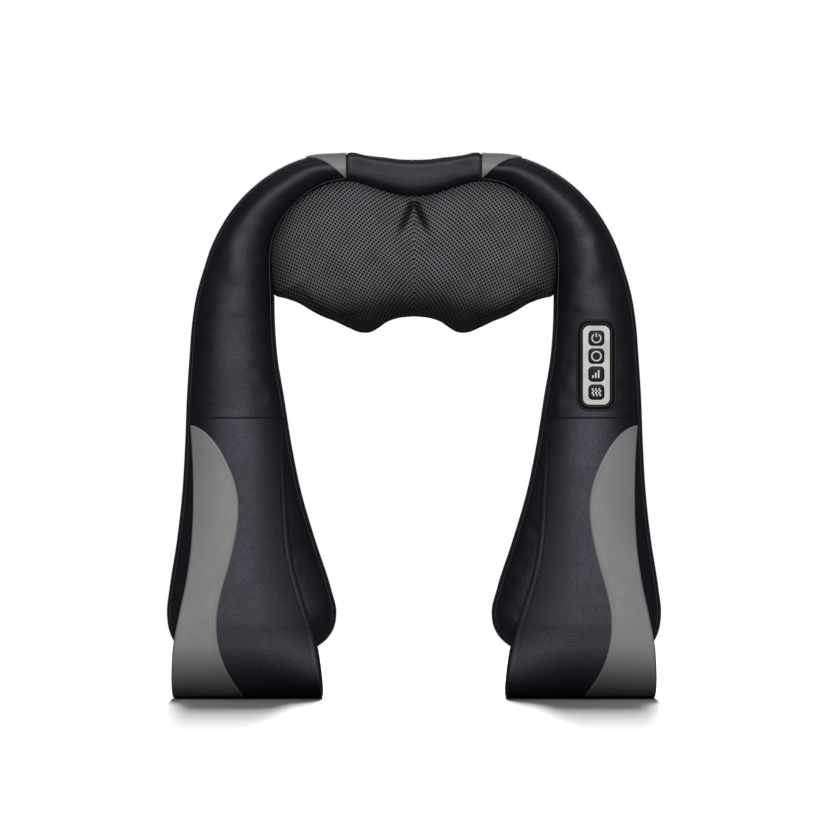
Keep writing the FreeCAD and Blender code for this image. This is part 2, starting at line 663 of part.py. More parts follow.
def make_boards():
    """The driver board in the rear shell, and a ring of warming lamps round each shaft."""
    driver = new_body("driver_board")
    rear = f"({CAVITY_REAR_Y} - 4)"
    slab(driver, f"{rear} - board_thickness", rear, lambda s: draw_box(
        s, "-30", "-(bridge_drop - 12)", "30", "-26"))
    slab(driver, f"{rear} - board_thickness - 3", f"{rear} - board_thickness",
         lambda s: draw_box(s, "-20", "-36", "-10", "-29"))
    slab(driver, f"{rear} - board_thickness - 2", f"{rear} - board_thickness",
         lambda s: draw_box(s, "6", "-35", "14", "-29"))
    place(driver, z=HEAD_Z)

    boards = new_body("heat_boards")
    lamps = new_body("heat_lamps")
    face = f"({HOUSING_FRONT_Y} - lamp_board_thickness)"
    for side in (-1, 1):
        slab(boards, face, HOUSING_FRONT_Y, lambda s, side=side: (
            draw_circle(s, f"{side} * {HEAD_X}", "0", "lamp_board_outer"),
            draw_circle(s, f"{side} * {HEAD_X}", "0", "lamp_board_inner")))
        for angle in range(0, 360, 60):
            x = f"{side} * {HEAD_X} + lamp_circle * cos({angle} deg)"
            z = f"lamp_circle * sin({angle} deg)"
            slab(lamps, f"{face} - lamp_height", face,
                 lambda s, x=x, z=z: draw_circle(s, x, z, "lamp_radius"))
    place(boards, z=HEAD_Z)
    place(lamps, z=HEAD_Z)


# ---------------------------------------------------------------------------
# Soft pieces of the crown
# ---------------------------------------------------------------------------
FAR = 400.0


def soft(label, shape):
    """A soft piece, whose shape comes from Part's own functions."""
    part = doc.addObject("Part::Feature", label)
    part.Label = label
    part.Shape = shape.removeSplitter()
    return part


def box(x0, y0, z0, x1, y1, z1):
    return Part.makeBox(x1 - x0, y1 - y0, z1 - z0, V(x0, y0, z0))


def rim_edges(shape, depth):
    """The edges of a shape that lie at one depth."""
    return [e for e in shape.Edges
            if all(abs(v.Point.y - depth) < 1e-6 for v in e.Vertexes)]


def crown_solid(inset, front, rear, rounded):
    """The twin-lobed body round the gearbox, from front to rear, with one rim rounded."""
    head_x, head_z = num(HEAD_X), num(HEAD_Z)
    radius = num("lobe_radius") - inset
    rounding = num("lobe_round") - inset
    bridge = box(-head_x, front, head_z - num("bridge_drop") + inset,
                 head_x, rear, head_z + num("bridge_rise") - inset)
    level = [e for e in rim_edges(bridge, rounded) if runs_along(V(1, 0, 0))(e)]
    shape = bridge.makeFillet(rounding, level)
    for side in (-1, 1):
        lobe = Part.makeCylinder(radius, rear - front, V(side * head_x, front, head_z), V(0, 1, 0))
        shape = shape.fuse(lobe.makeFillet(rounding, rim_edges(lobe, rounded)))
    return shape.removeSplitter()


def housing_solid(room):
    """The space that the closed housing takes, grown by a clearance."""
    head_x, head_z = num(HEAD_X), num(HEAD_Z)
    front, rear = num(HOUSING_FRONT_Y) - room, num(HOUSING_REAR_Y) + room
    deep = rear - front
    shape = box(-head_x, front, head_z - num("bridge_drop") + 8 - room,
                head_x, rear, head_z + num("bridge_rise") - 8 + room)
    for side in (-1, 1):
        at = V(side * head_x, front, head_z)
        shape = shape.fuse(Part.makeCylinder(num(HOUSING_RADIUS) + room, deep, at, V(0, 1, 0)))
    for x, z in LUGS:
        at = V(num(x), front - num("screw_head_height"), head_z + num(z))
        shape = shape.fuse(Part.makeCylinder(num("lug_radius") + room, deep, at, V(0, 1, 0)))
    return shape.fuse(motor_bay(room))


def motor_bay(room):
    """The part of the housing that stands up into the top pad."""
    half, head_z = num(BAY_HALF) + room, num(HEAD_Z)
    return box(-half, num(HOUSING_FRONT_Y) - room, head_z,
               half, num(BAY_REAR_Y) + room, head_z + num(BAY_TOP) + room)


def make_crown_covers():
    """The stretched mesh over the heads, the leather back, and the foam round the housing."""
    front, rear, seam = -num("overall_depth") / 2, num("overall_depth") / 2, num("cover_seam")
    gap, mesh, skin = num("soft_gap"), num("mesh_thickness"), num("leather_thickness")
    bay = motor_bay(gap)

    outer = crown_solid(0, front, seam - gap / 2, front)
    inner = crown_solid(mesh, front + mesh, seam + 1, front + mesh)
    soft("mesh_cover", outer.cut(inner).cut(bay).cut(lead_channel))

    outer = crown_solid(0, seam + gap / 2, rear, rear)
    inner = crown_solid(skin, seam - 1, rear - skin, rear - skin)
    soft("rear_cover", outer.cut(inner).cut(bay).cut(lead_channel))

    lining = crown_solid(mesh + gap, num(HOUSING_FRONT_Y), rear - skin, rear - skin)
    soft("crown_foam", lining.cut(housing_solid(gap)).cut(lead_channel))


# ---------------------------------------------------------------------------
# The horseshoe
# ---------------------------------------------------------------------------
def horseshoe_stations():
    """Cross-sections along one arm: inner point, outer point, half depth and corner radius.

    From the top pad they turn round the head's lobe, and below the lobe they lie level down
    to the end of the paddle. X is positive here.
    """
    head_x, head_z = num(HEAD_X), num(HEAD_Z)
    reach = num("lobe_radius") + 2
    depth, corner = num("arm_half_depth"), num("arm_corner")
    root, bend_width = num("root_width"), num("bend_width")
    inner_x = num(ARM_INNER_X)
    bend_z, seam_z = num(BEND_Z), num("strap_length")
    stations = []
    start_x = num("crown_half_width")
    first_turn = math.degrees(math.acos((start_x - head_x) / reach))
    for share in (0.0, 0.25, 0.5, 0.75, 1.0):
        turn = math.radians(first_turn + (8 - first_turn) * share)
        width = root + (bend_width - root) * 0.7 * share ** 1.15
        ray = V(math.cos(turn), 0, math.sin(turn))
        if share == 0.0:
            ray = V(0, 0, 1)
        inner = V(head_x + reach * math.cos(turn), 0, head_z + reach * math.sin(turn))
        stations.append((inner, inner + ray * width, depth, min(corner, width / 2 - 1)))

    paddle_top, paddle_end = seam_z, num("hand_gap")
    widest = paddle_end + num("paddle_rise")
    seam_inner = inner_x - num("arm_toe_in")
    paddle_inner = inner_x - num("paddle_toe_in")
    paddle_outer = paddle_inner + num("paddle_width")
    seam_outer = seam_inner + num("seam_width")
    bend_outer = inner_x + bend_width
    run = paddle_top - widest

    def level(z, inner_edge, outer_edge, half, round_to=corner):
        stations.append((V(inner_edge, 0, z), V(outer_edge, 0, z), half, round_to))

    level(head_z - 12, inner_x + 1.5, bend_outer - 9, depth)
    level(bend_z, inner_x, bend_outer, depth)
    level(bend_z - 0.36 * (bend_z - seam_z), inner_x - 2, bend_outer + 3.5, depth)
    level(seam_z, seam_inner, seam_outer, depth)
    for share in (0.27, 0.52, 0.77):
        inner_edge = seam_inner + (paddle_inner - seam_inner) * share ** 1.25
        outer_edge = seam_outer + (paddle_outer - seam_outer) * share ** 1.6
        level(paddle_top - run * share, inner_edge, outer_edge, depth)
    level(widest, paddle_inner, paddle_outer, depth - 1)
    level(widest - 14, paddle_inner + 2.5, paddle_outer - 1.5, depth - 3, corner - 3)
    level(widest - 25, paddle_inner + 11, paddle_outer - 7, depth - 9, corner - 7)
    level(paddle_end + 3, paddle_inner + 21, paddle_outer - 15, depth - 14, corner - 9)
    level(paddle_end, paddle_inner + 30, paddle_outer - 24, depth - 19, corner - 12)
    return stations


def rounded_section(station, side, inset):
    """A rounded rectangle that stands on the line from the inner to the outer point."""
    inner, outer, half_depth, corner = station
    inner = V(side * inner.x, 0, inner.z)
    outer = V(side * outer.x, 0, outer.z)
    along = (outer - inner).normalize()
    deep = V(0, 1, 0)
    middle = (inner + outer) * 0.5
    a = (outer - inner).Length / 2 - inset
    b = half_depth - inset
    r = max(min(corner - inset, a - 0.5, b - 0.5), 0.4)

    def at(p, q):
        return middle + along * p + deep * q

    edges = []
    turns = [(1, -1), (1, 1), (-1, 1), (-1, -1)]
    starts = [at(a - r, -b), at(a, b - r), at(-a + r, b), at(-a, -b + r)]
    ends = [at(a, -b + r), at(a - r, b), at(-a, b - r), at(-a + r, -b)]
    bulge = r * (1 - math.sqrt(0.5))
    for i, (p, q) in enumerate(turns):
        halfway = at(p * (a - bulge), q * (b - bulge))
        edges.append(Part.Arc(starts[i], halfway, ends[i]).toShape())
        edges.append(Part.makeLine(ends[i], starts[(i + 1) % 4]))
    return Part.Wire(edges)


def horseshoe_half(side, inset):
    """One arm from the top pad to the paddle's end, without its division at the bend."""
    stations = horseshoe_stations()
    if inset:
        inner, outer, half, corner = stations[-1]
        lift = V(0, 0, inset)
        stations[-1] = (inner + lift, outer + lift, half, corner)
    return Part.makeLoft([rounded_section(s, side, inset) for s in stations], True, False)


def bend_tools():
    """Two tools that divide an arm at its bend so that the lower part can turn about X.

    The lower part ends in a rounded knuckle. The upper part has the matching hollow, and its
    front and rear lips stop short of where the lower part's shoulders swing to.
    """
    z = num(BEND_Z)
    knuckle, gap = num("knuckle_radius"), num("soft_gap")
    wide, high = 60.0, 260.0
    front = wide * math.tan(math.radians(num("bend_forward") + num("bend_margin")))
    back = wide * math.tan(math.radians(num("bend_back") + num("bend_margin")))
    lips = [V(-FAR, 0, z), V(-FAR, wide, z + back), V(-FAR, wide, z + high),
            V(-FAR, -wide, z + high), V(-FAR, -wide, z + front), V(-FAR, 0, z)]
    upper = Part.Face(Part.makePolygon(lips)).extrude(V(2 * FAR, 0, 0))
    upper = upper.cut(Part.makeCylinder(knuckle + gap, 2 * FAR, V(-FAR, 0, z), V(1, 0, 0)))
    lower = box(-FAR, -wide, -1, FAR, wide, z)
    lower = lower.fuse(Part.makeCylinder(knuckle, 2 * FAR, V(-FAR, 0, z), V(1, 0, 0)))
    return upper, lower


def rounded_path(points, bends):
    """Straight runs through the points, with an arc of the given radius at each turn."""
    edges, start = [], points[0]
    for before, corner, after, bend in zip(points, points[1:], points[2:], bends):
        back = (before - corner).normalize()
        on = (after - corner).normalize()
        half = math.acos(back.dot(on)) / 2
        enter = corner + back * (bend / math.tan(half))
        leave = corner + on * (bend / math.tan(half))
        centre = corner + (back + on).normalize() * (bend / math.sin(half))
        middle = centre + (corner - centre).normalize() * bend
        edges.append(Part.makeLine(start, enter))
        edges.append(Part.Arc(enter, middle, leave).toShape())
        start = leave
    edges.append(Part.makeLine(start, points[-1]))
    return edges


def spline_prism(points, corners=()):
    """A prism along Y whose outline is one smooth curve, closed by straight runs."""
    curve = Part.BSplineCurve()
    curve.interpolate([V(x, -FAR, z) for x, z in points])
    ends = [points[-1], *corners, points[0]]
    runs = [Part.makeLine(V(a[0], -FAR, a[1]), V(b[0], -FAR, b[1]))
            for a, b in zip(ends, ends[1:])]
    return Part.Face(Part.Wire([curve.toShape(), *runs])).extrude(V(0, 2 * FAR, 0))


def patch_prism(side):
    """The grey accent beside the top pad, as a prism along Y."""
    x, head_z = num("crown_half_width"), num(HEAD_Z)
    low = head_z + num("lobe_radius") + 1
    top = head_z + num("lobe_radius") + 2 + num("root_width")
    curve = [(x - 4, low - 1), (x + 4, low + 5), (x + 14, low + 13), (x + 25, low + 18.5),
             (x + 38, low + 19.5)]
    curve = [(side * p, q) for p, q in curve]
    return spline_prism(curve, [(side * (x + 38), top + 20), (side * (x - 4), top + 20)])


def make_top_pad():
    """The pad over the crown, between the two roots of the horseshoe."""
    gap, skin = num("soft_gap"), num("leather_thickness")
    half, head_z = num("crown_half_width") - gap / 2, num(HEAD_Z)
    depth, corner = num("arm_half_depth"), num("arm_corner")
    low = head_z + num("lobe_radius") + 2
    top = low + num("root_width")
    middle_low, middle_top = head_z + num("bridge_rise"), top - num("crown_dip")
    ends = [(-half, low, top), (0, middle_low, middle_top), (half, low, top)]

    def pad(inset):
        wires = []
        for x, bottom, upper in ends:
            station = (V(x, 0, bottom), V(x, 0, upper), depth, min(corner, 11.5))
            wires.append(rounded_section(station, 1, inset))
        return Part.makeLoft(wires, True, False)

    crown = crown_solid(-gap, -num("overall_depth"), num("overall_depth"), -num("overall_depth"))
    keep_out = crown.fuse(motor_bay(gap))
    soft("top_foam", pad(skin).cut(keep_out))
    soft("top_cover", pad(0).cut(pad(skin)).cut(keep_out))


def cut_all(shape, tools):
    """The shape with every tool cut from it."""
    for tool in tools:
        shape = shape.cut(tool)
    return shape


def make_horseshoe(prefix, side, upper, lower, holes_above, holes_below):
    """Foam and leather of one side, above and below the bend, and its grey accent."""
    skin = num("leather_thickness")
    outer, inner = horseshoe_half(side, 0), horseshoe_half(side, skin)
    leather = outer.cut(inner)
    patch = patch_prism(side)
    above = leather.common(upper)
    soft(f"{prefix}_shoulder_cover", cut_all(above.cut(patch), holes_above))
    soft(f"{prefix}_top_patch", above.common(patch))
    soft(f"{prefix}_shoulder_foam", cut_all(inner.common(upper), holes_above))
    soft(f"{prefix}_arm_cover", cut_all(leather.common(lower), holes_below))
    soft(f"{prefix}_arm_foam", cut_all(inner.common(lower), holes_below))
    return outer


# ---------------------------------------------------------------------------
# Hand straps
# ---------------------------------------------------------------------------
def strap_band():
    """The strap's run in side view: down from the seam, flat on the floor and up again."""
    seam_z, thick = num("strap_length"), num("strap_thickness")
    half = num("overall_depth") / 2
    top_half = num("arm_half_depth") + 1.0
    corner, knee, sway = num("strap_corner"), 0.28 * seam_z, 400.0

    def hanging(inset, lift):
        side_run = [(-top_half + inset, seam_z + lift), (-half + inset, knee),
                    (-half + inset, inset), (half - inset, inset), (half - inset, knee),
                    (top_half - inset, seam_z + lift)]
        points = [V(-FAR, y, z) for y, z in side_run]
        bends = [sway, corner - inset, corner - inset, sway]
        edges = rounded_path(points, bends)
        edges.append(Part.makeLine(points[-1], points[0]))
        return Part.Face(Part.Wire(edges)).extrude(V(2 * FAR, 0, 0))

    return hanging(0, 0).cut(hanging(thick, 1))


def strap_edges():
    """The strap's two edges and the line between its colours, in front view, X positive."""
    inner_x = num(ARM_INNER_X)
    seam_z = num("strap_length")
    inset = num("strap_edge_inset")
    seam_inner = inner_x - num("arm_toe_in") + 0.5 * inset
    seam_outer = inner_x - num("arm_toe_in") + num("seam_width") - inset
    foot_outer = inner_x - num("paddle_toe_in") + num("paddle_width") - 6
    foot_inner = foot_outer - num("strap_foot_width")
    inner = [(seam_inner, seam_z), (seam_inner - 4.5, 0.62 * seam_z),
             (seam_inner - 16.5, 0.355 * seam_z), (seam_inner - 27.5, 0.19 * seam_z),
             (foot_inner, 0)]
    outer = [(seam_outer, seam_z), (seam_outer - 2.8, 0.69 * seam_z),
             (seam_outer + 4.8, 0.36 * seam_z), (foot_outer + 1, 0.13 * seam_z), (foot_outer, 0)]
    middle = [(seam_outer + 0.4, 0.974 * seam_z), (seam_outer - 22, 0.9 * seam_z),
              (seam_outer - 36.5, 0.785 * seam_z), (seam_outer - 41, 0.665 * seam_z),
              (seam_outer - 36.5, 0.54 * seam_z), (seam_outer - 27, 0.387 * seam_z),
              (seam_outer - 22.5, 0.277 * seam_z), (seam_outer - 28, 0.126 * seam_z),
              (seam_outer - 47, 0)]
    return inner, outer, middle


def strap_outline(inner, outer):
    """A prism along Y between the strap's two edges."""
    curves = []
    for points in (inner, outer):
        curve = Part.BSplineCurve()
        curve.interpolate([V(x, -FAR, z) for x, z in points])
        curves.append(curve.toShape())
    runs = [Part.makeLine(V(a[0], -FAR, a[1]), V(b[0], -FAR, b[1]))
            for a, b in ((inner[0], outer[0]), (inner[-1], outer[-1]))]
    edges = Part.__sortEdges__([curves[0], runs[1], curves[1], runs[0]])
    return Part.Face(Part.Wire(edges)).extrude(V(0, 2 * FAR, 0))


def make_strap(prefix, side, arm):
    """The black strap and its grey inlay, which follows the outer edge all the way round."""
    inner, outer, middle = [[(side * x, z) for x, z in line] for line in strap_edges()]
    band = strap_band().common(strap_outline(inner, outer)).cut(arm)
    beyond = side * FAR
    accent = spline_prism(middle, [(middle[-1][0], -1), (beyond, -1), (beyond, middle[0][1])])
    inlay = band.common(accent)
    soft(f"{prefix}_strap", largest(band.cut(accent)))
    soft(f"{prefix}_strap_inlay", largest(inlay))


def largest(shape):
    """The biggest solid of a shape, which drops slivers left by a cut."""
    return max(shape.Solids, key=lambda s: s.Volume)


# ---------------------------------------------------------------------------
# Control panel in the right arm
# ---------------------------------------------------------------------------
PANEL_X = f"({ARM_INNER_X} + 0.5 * bend_width + 1.7)"
SURFACE_Y = "(-arm_half_depth)"
FRAME_FRONT_Y = f"({SURFACE_Y} - frame_proud)"
PLATE_FRONT = f"({FRAME_FRONT_Y} + plate_sunk)"
PLATE_BACK = f"({PLATE_FRONT} + panel_thickness)"
FRAME_BACK_Y = f"({FRAME_FRONT_Y} + frame_depth)"
TRAY_REAR_Y = f"({FRAME_BACK_Y} + tray_depth)"
LEAD_Y = f"({TRAY_REAR_Y} - tray_wall - lead_radius - 1)"
KNUCKLE_EXIT = f"sqrt(pow(knuckle_radius; 2) - pow({LEAD_Y} - lead_radius; 2))"
HOLLOW_ENTRY = f"sqrt(pow(knuckle_radius + soft_gap; 2) - pow({LEAD_Y} + lead_radius; 2))"
BOARD_FRONT_Y = f"({PLATE_BACK} + key_flange + key_travel + dome_gap + dome_height)"


def rounded_slab(body, front, rear, half_x, half_z, corner, centre_z="0"):
    """A slab with a rectangular face and rounded corners."""
    slab(body, front, rear, lambda s: draw_box(
        s, f"-({half_x})", f"{centre_z} - ({half_z})", half_x, f"{centre_z} + ({half_z})"))
    return round_edges(body, corner, runs_along(V(0, 1, 0)))


def panel_place(body):
    return place(body, x=PANEL_X, z=PANEL_Z)


KEY_NAMES = ["power_key", "direction_key", "speed_key", "heat_key"]
KEY_SHIFTS = [f"({1.5 - i}) * key_pitch" for i in range(len(KEY_NAMES))]


def make_panel():
    """The soft frame, the plate with four windows, and the tray with its board and domes."""
    half_x, half_z = "panel_width / 2", "panel_height / 2"
    frame = new_body("panel_frame")
    rounded_slab(frame, FRAME_FRONT_Y, FRAME_BACK_Y, f"{half_x} + frame_border",
                 f"{half_z} + frame_border", "panel_corner + frame_border")
    carve(frame, FRAME_FRONT_Y, FRAME_BACK_Y, lambda s: draw_box(
        s, f"-{half_x}", f"-{half_z}", half_x, half_z))
    round_edges(frame, "panel_corner", lambda e: runs_along(V(0, 1, 0))(e)
                and abs(abs(e.Vertexes[0].Point.x) - num(half_x)) < 1e-4)
    panel_place(frame)

    plate = new_body("panel_plate")
    rounded_slab(plate, PLATE_FRONT, PLATE_BACK, half_x, half_z, "panel_corner")
    window = new_sketch(plate, "XZ_Plane", f"-({PLATE_FRONT})")
    wide, high = "(key_width / 2 + key_gap)", "(key_height / 2 + key_gap)"
    first = KEY_SHIFTS[-1]
    draw_box(window, f"-{wide}", f"{first} - {high}", wide, f"{first} + {high}")
    pocket = plate.newObject("PartDesign::Pocket", "Window")
    pocket.Profile = window
    bind(pocket, "Length", "panel_thickness")
    doc.recompute()
    row = plate.newObject("PartDesign::LinearPattern", "Windows")
    row.Originals = [pocket]
    row.Direction = (window, ["V_Axis"])
    bind(row, "Length", "3 * key_pitch")
    row.Occurrences = 4
    plate.Tip = row
    round_edges(plate, "key_corner + key_gap", lambda e: runs_along(V(0, 1, 0))(e)
                and abs(abs(e.Vertexes[0].Point.x) - num(wide)) < 1e-4)
    panel_place(plate)

    for label, shift in zip(KEY_NAMES, KEY_SHIFTS):
        key = new_body(label)
        rounded_slab(key, f"{PLATE_FRONT} - key_proud", PLATE_BACK, "key_width / 2",
                     "key_height / 2", "key_corner", shift)
        slab(key, PLATE_BACK, f"{PLATE_BACK} + key_flange", lambda s, shift=shift: draw_box(
            s, "-(key_width / 2 + 1)", f"{shift} - key_height / 2 - 0.6",
            "key_width / 2 + 1", f"{shift} + key_height / 2 + 0.6"))
        panel_place(key)

    board = new_body("control_board")
    slab(board, BOARD_FRONT_Y, f"{BOARD_FRONT_Y} + board_thickness", lambda s: draw_box(
        s, f"-({half_x} - 1)", f"-({half_z} - 1)", f"{half_x} - 1", f"{half_z} - 1"))
    panel_place(board)

    domes = new_body("switch_domes")
    for shift in KEY_SHIFTS:
        slab(domes, f"{BOARD_FRONT_Y} - dome_height", BOARD_FRONT_Y,
             lambda s, shift=shift: draw_circle(s, "0", shift, "dome_radius"))
    panel_place(domes)

    tray = new_body("control_tray")
    slab(tray, FRAME_BACK_Y, TRAY_REAR_Y, lambda s: draw_box(
        s, f"-({half_x} + tray_wall)", f"-({half_z} + tray_wall)",
        f"{half_x} + tray_wall", f"{half_z} + tray_wall"))
    carve(tray, FRAME_BACK_Y, f"{BOARD_FRONT_Y} + board_thickness", lambda s: draw_box(
        s, f"-{half_x}", f"-{half_z}", half_x, half_z))
    carve(tray, f"{BOARD_FRONT_Y} + board_thickness", f"{TRAY_REAR_Y} - tray_wall",
          lambda s: draw_box(s, f"-({half_x} - 2)", f"-({half_z} - 2)",
                             f"{half_x} - 2", f"{half_z} - 2"))
    panel_place(tray)


def panel_hollow():
    """The hole in leather and foam that takes the frame and the tray."""
    x, z = num(PANEL_X), num(PANEL_Z)
    half_x, half_z = num("panel_width") / 2, num("panel_height") / 2
    border, wall = num("frame_border"), num("tray_wall")
    edge = box(x - half_x - border, -FAR, z - half_z - border,
               x + half_x + border, num(FRAME_BACK_Y), z + half_z + border)
    edge = edge.makeFillet(num("panel_corner") + border,
                           [e for e in edge.Edges if runs_along(V(0, 1, 0))(e)])
    tray = box(x - half_x - wall, -FAR, z - half_z - wall,
               x + half_x + wall, num(TRAY_REAR_Y), z + half_z + wall)
    return edge.fuse(tray)


# ---------------------------------------------------------------------------
# Power inlet and leads
# ---------------------------------------------------------------------------
INLET_Z = f"({PANEL_Z} - inlet_drop)"
INLET_INNER_Y = "(arm_half_depth - inlet_length)"


def face_rear(body):
    """Turns a body that was drawn along -Z so that it faces the rear, behind the key panel."""
    body.Placement.Rotation = FreeCAD.Rotation(V(1, 0, 0), 90)
    return place(body, x=PANEL_X, y="arm_half_depth", z=INLET_Z)


def make_inlet():
    """The round power inlet in the right arm's rear, with its centre contact."""
    body = new_body("power_inlet")
    flange = "-inlet_flange"
    floor = "(inlet_bore_depth - inlet_flange)"
    turned(body, "XZ_Plane", [
        ("inlet_bore_radius", flange), ("inlet_flange_radius", flange),
        ("inlet_flange_radius", "0"), ("inlet_radius", "0"),
        ("inlet_radius", "inlet_length"), ("inlet_neck_radius", "inlet_length"),
        ("inlet_neck_radius", floor), ("inlet_bore_radius", floor),
    ])
    face_rear(body)
    pin = new_body("inlet_contact")
    tip = f"({floor} - inlet_pin_length)"
    neck = f"({floor} - inlet_neck_rise)"
    turned(pin, "XZ_Plane", [
        ("0", tip), ("inlet_pin_radius - inlet_pin_chamfer", tip),
        ("inlet_pin_radius", f"{tip} + inlet_pin_chamfer"), ("inlet_pin_radius", neck),
        ("inlet_neck_radius", neck), ("inlet_neck_radius", "inlet_length"),
        ("0", "inlet_length"),
    ])
    face_rear(pin)


def swept_lead(points, radius):
    """A round lead along straight runs joined by arcs of one radius."""
    path = Part.Wire(rounded_path(points, [num("lead_bend")] * (len(points) - 2)))
    way = (points[1] - points[0]).normalize()
    ring = Part.Wire([Part.makeCircle(radius, points[0], way)])
    return path.makePipeShell([ring], True, False)


def control_route():
    """From the tray's top straight up to the knuckle's edge."""
    x, y = num(PANEL_X), num(LEAD_Y)
    low = num(PANEL_Z) + num("panel_height") / 2 + num("tray_wall")
    return [V(x, y, low), V(x, y, num(BEND_Z) + num(KNUCKLE_EXIT))]


def shoulder_route():
    """From the bend up through the shoulder, and across into the housing's side."""
    x, y, turn_z = num(PANEL_X), num(LEAD_Y), num(LEAD_TURN_Z)
    low = num(BEND_Z) + num(HOLLOW_ENTRY) + num("soft_gap")
    wall = num(HEAD_X) + num(HOUSING_RADIUS) - 1
    return [V(x, y, low), V(x, y, turn_z), V(wall, y, turn_z)]


def power_route():
    """From the power inlet straight forward to the tray's rear."""
    x, z = num(PANEL_X), num(INLET_Z)
    return [V(x, num(INLET_INNER_Y), z), V(x, num(TRAY_REAR_Y), z)]


# ---------------------------------------------------------------------------
# Assembly
# ---------------------------------------------------------------------------
make_motor()
make_worm()
make_mechanism_supports()
make_head("left", -1)
make_head("right", 1)
make_rear_housing()
make_front_housing()
make_bushes()
make_housing_screws()
make_boards()
make_panel()
make_inlet()

lead = num("lead_radius")
room = num("lead_room")
lead_channel = swept_lead(shoulder_route(), lead + room)
control_channel = swept_lead(control_route(), lead + room)
power_channel = swept_lead(power_route(), lead + room)
make_crown_covers()
make_top_pad()

upper_tool, lower_tool = bend_tools()
inlet_hole = Part.makeCylinder(num("inlet_radius"), num("inlet_length"),
                               V(num(PANEL_X), num(INLET_INNER_Y), num(INLET_Z)), V(0, 1, 0))
right_below = panel_hollow().fuse(control_channel).fuse(power_channel).fuse(inlet_hole)
left_arm = make_horseshoe("left", -1, upper_tool, lower_tool, [], [])
right_arm = make_horseshoe("right", 1, upper_tool, lower_tool, [lead_channel], [right_below])
make_strap("left", -1, left_arm)
make_strap("right", 1, right_arm)
soft("control_lead", swept_lead(control_route(), lead))
soft("shoulder_lead", swept_lead(shoulder_route(), lead))
soft("power_lead", swept_lead(power_route(), lead))

doc.recompute()

# ---------------------------------------------------------------------------
# Checks and export
# ---------------------------------------------------------------------------
bodies = [o for o in doc.Objects if o.TypeId == "PartDesign::Body"]
features = [o for o in doc.Objects if o.TypeId == "Part::Feature"]
groups = [o for o in doc.Objects if o.TypeId == "Part::Compound"]
sub_parts = bodies + features + groups
for thing in doc.Objects:
    if "Invalid" in thing.State or "Error" in thing.State:
        raise RuntimeError(f"{thing.Label} failed: {thing.State}")
for part in sub_parts:
    if part.Shape.isNull() or not part.Shape.isValid() or not part.Shape.Solids:
        raise RuntimeError(f"{part.Label} has no valid solid")

os.makedirs("parts", exist_ok=True)
for part in sub_parts:
    part.Shape.exportStep(os.path.join("parts", f"{part.Label}.step"))
print(f"{len(sub_parts)} sub-parts written")
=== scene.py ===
# %% [markdown]
# # A shiatsu neck massager in leather and mesh
# The object is a padded horseshoe that hangs round the neck. Its crown holds two kneading heads
# under a stretched mesh cover, its arms end in flat pads, and a broad hand strap loops under each
# pad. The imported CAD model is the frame: it fixes every size, place and joint. This lesson sews
# the visible leather, mesh and straps round that frame, and gives every part its finish.

# %% Load the frame
import json
import math
from functools import partial
import bmesh
import bpy
import numpy as np
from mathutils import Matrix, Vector, kdtree, noise

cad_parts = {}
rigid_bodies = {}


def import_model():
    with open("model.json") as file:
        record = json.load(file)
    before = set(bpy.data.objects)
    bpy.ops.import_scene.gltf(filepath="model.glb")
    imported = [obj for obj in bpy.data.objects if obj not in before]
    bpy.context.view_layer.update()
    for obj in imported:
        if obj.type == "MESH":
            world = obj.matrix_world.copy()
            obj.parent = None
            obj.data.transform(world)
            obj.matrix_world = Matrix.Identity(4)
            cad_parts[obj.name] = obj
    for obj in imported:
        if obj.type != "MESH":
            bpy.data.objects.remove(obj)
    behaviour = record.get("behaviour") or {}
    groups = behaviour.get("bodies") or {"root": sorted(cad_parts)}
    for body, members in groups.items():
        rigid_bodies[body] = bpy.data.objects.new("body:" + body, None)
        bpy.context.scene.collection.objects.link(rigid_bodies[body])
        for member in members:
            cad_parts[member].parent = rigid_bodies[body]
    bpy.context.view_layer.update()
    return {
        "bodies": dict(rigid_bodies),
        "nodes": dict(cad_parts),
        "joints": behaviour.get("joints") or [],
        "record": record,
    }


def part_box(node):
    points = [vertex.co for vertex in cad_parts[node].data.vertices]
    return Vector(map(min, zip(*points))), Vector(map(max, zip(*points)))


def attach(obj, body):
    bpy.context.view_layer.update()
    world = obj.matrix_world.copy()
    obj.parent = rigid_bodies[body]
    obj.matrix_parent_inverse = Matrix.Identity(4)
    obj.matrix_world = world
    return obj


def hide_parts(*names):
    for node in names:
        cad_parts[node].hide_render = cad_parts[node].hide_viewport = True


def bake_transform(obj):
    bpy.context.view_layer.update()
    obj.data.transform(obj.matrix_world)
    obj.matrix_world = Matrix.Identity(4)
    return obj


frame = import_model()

MM = 0.001
SIDES = {"left": -1, "right": 1}

# %% [markdown]
# ## Measures that the whole lesson shares
# Everything is placed from the frame. A head plate is round, so the middle of its box is the
# axis that the head turns on. The arm's joint says where the arm bends. The strap's seam lies a
# fixed height above the floor, never lower than the arm's own end. Later cells name their own
# sizes in millimetres where they are first used.

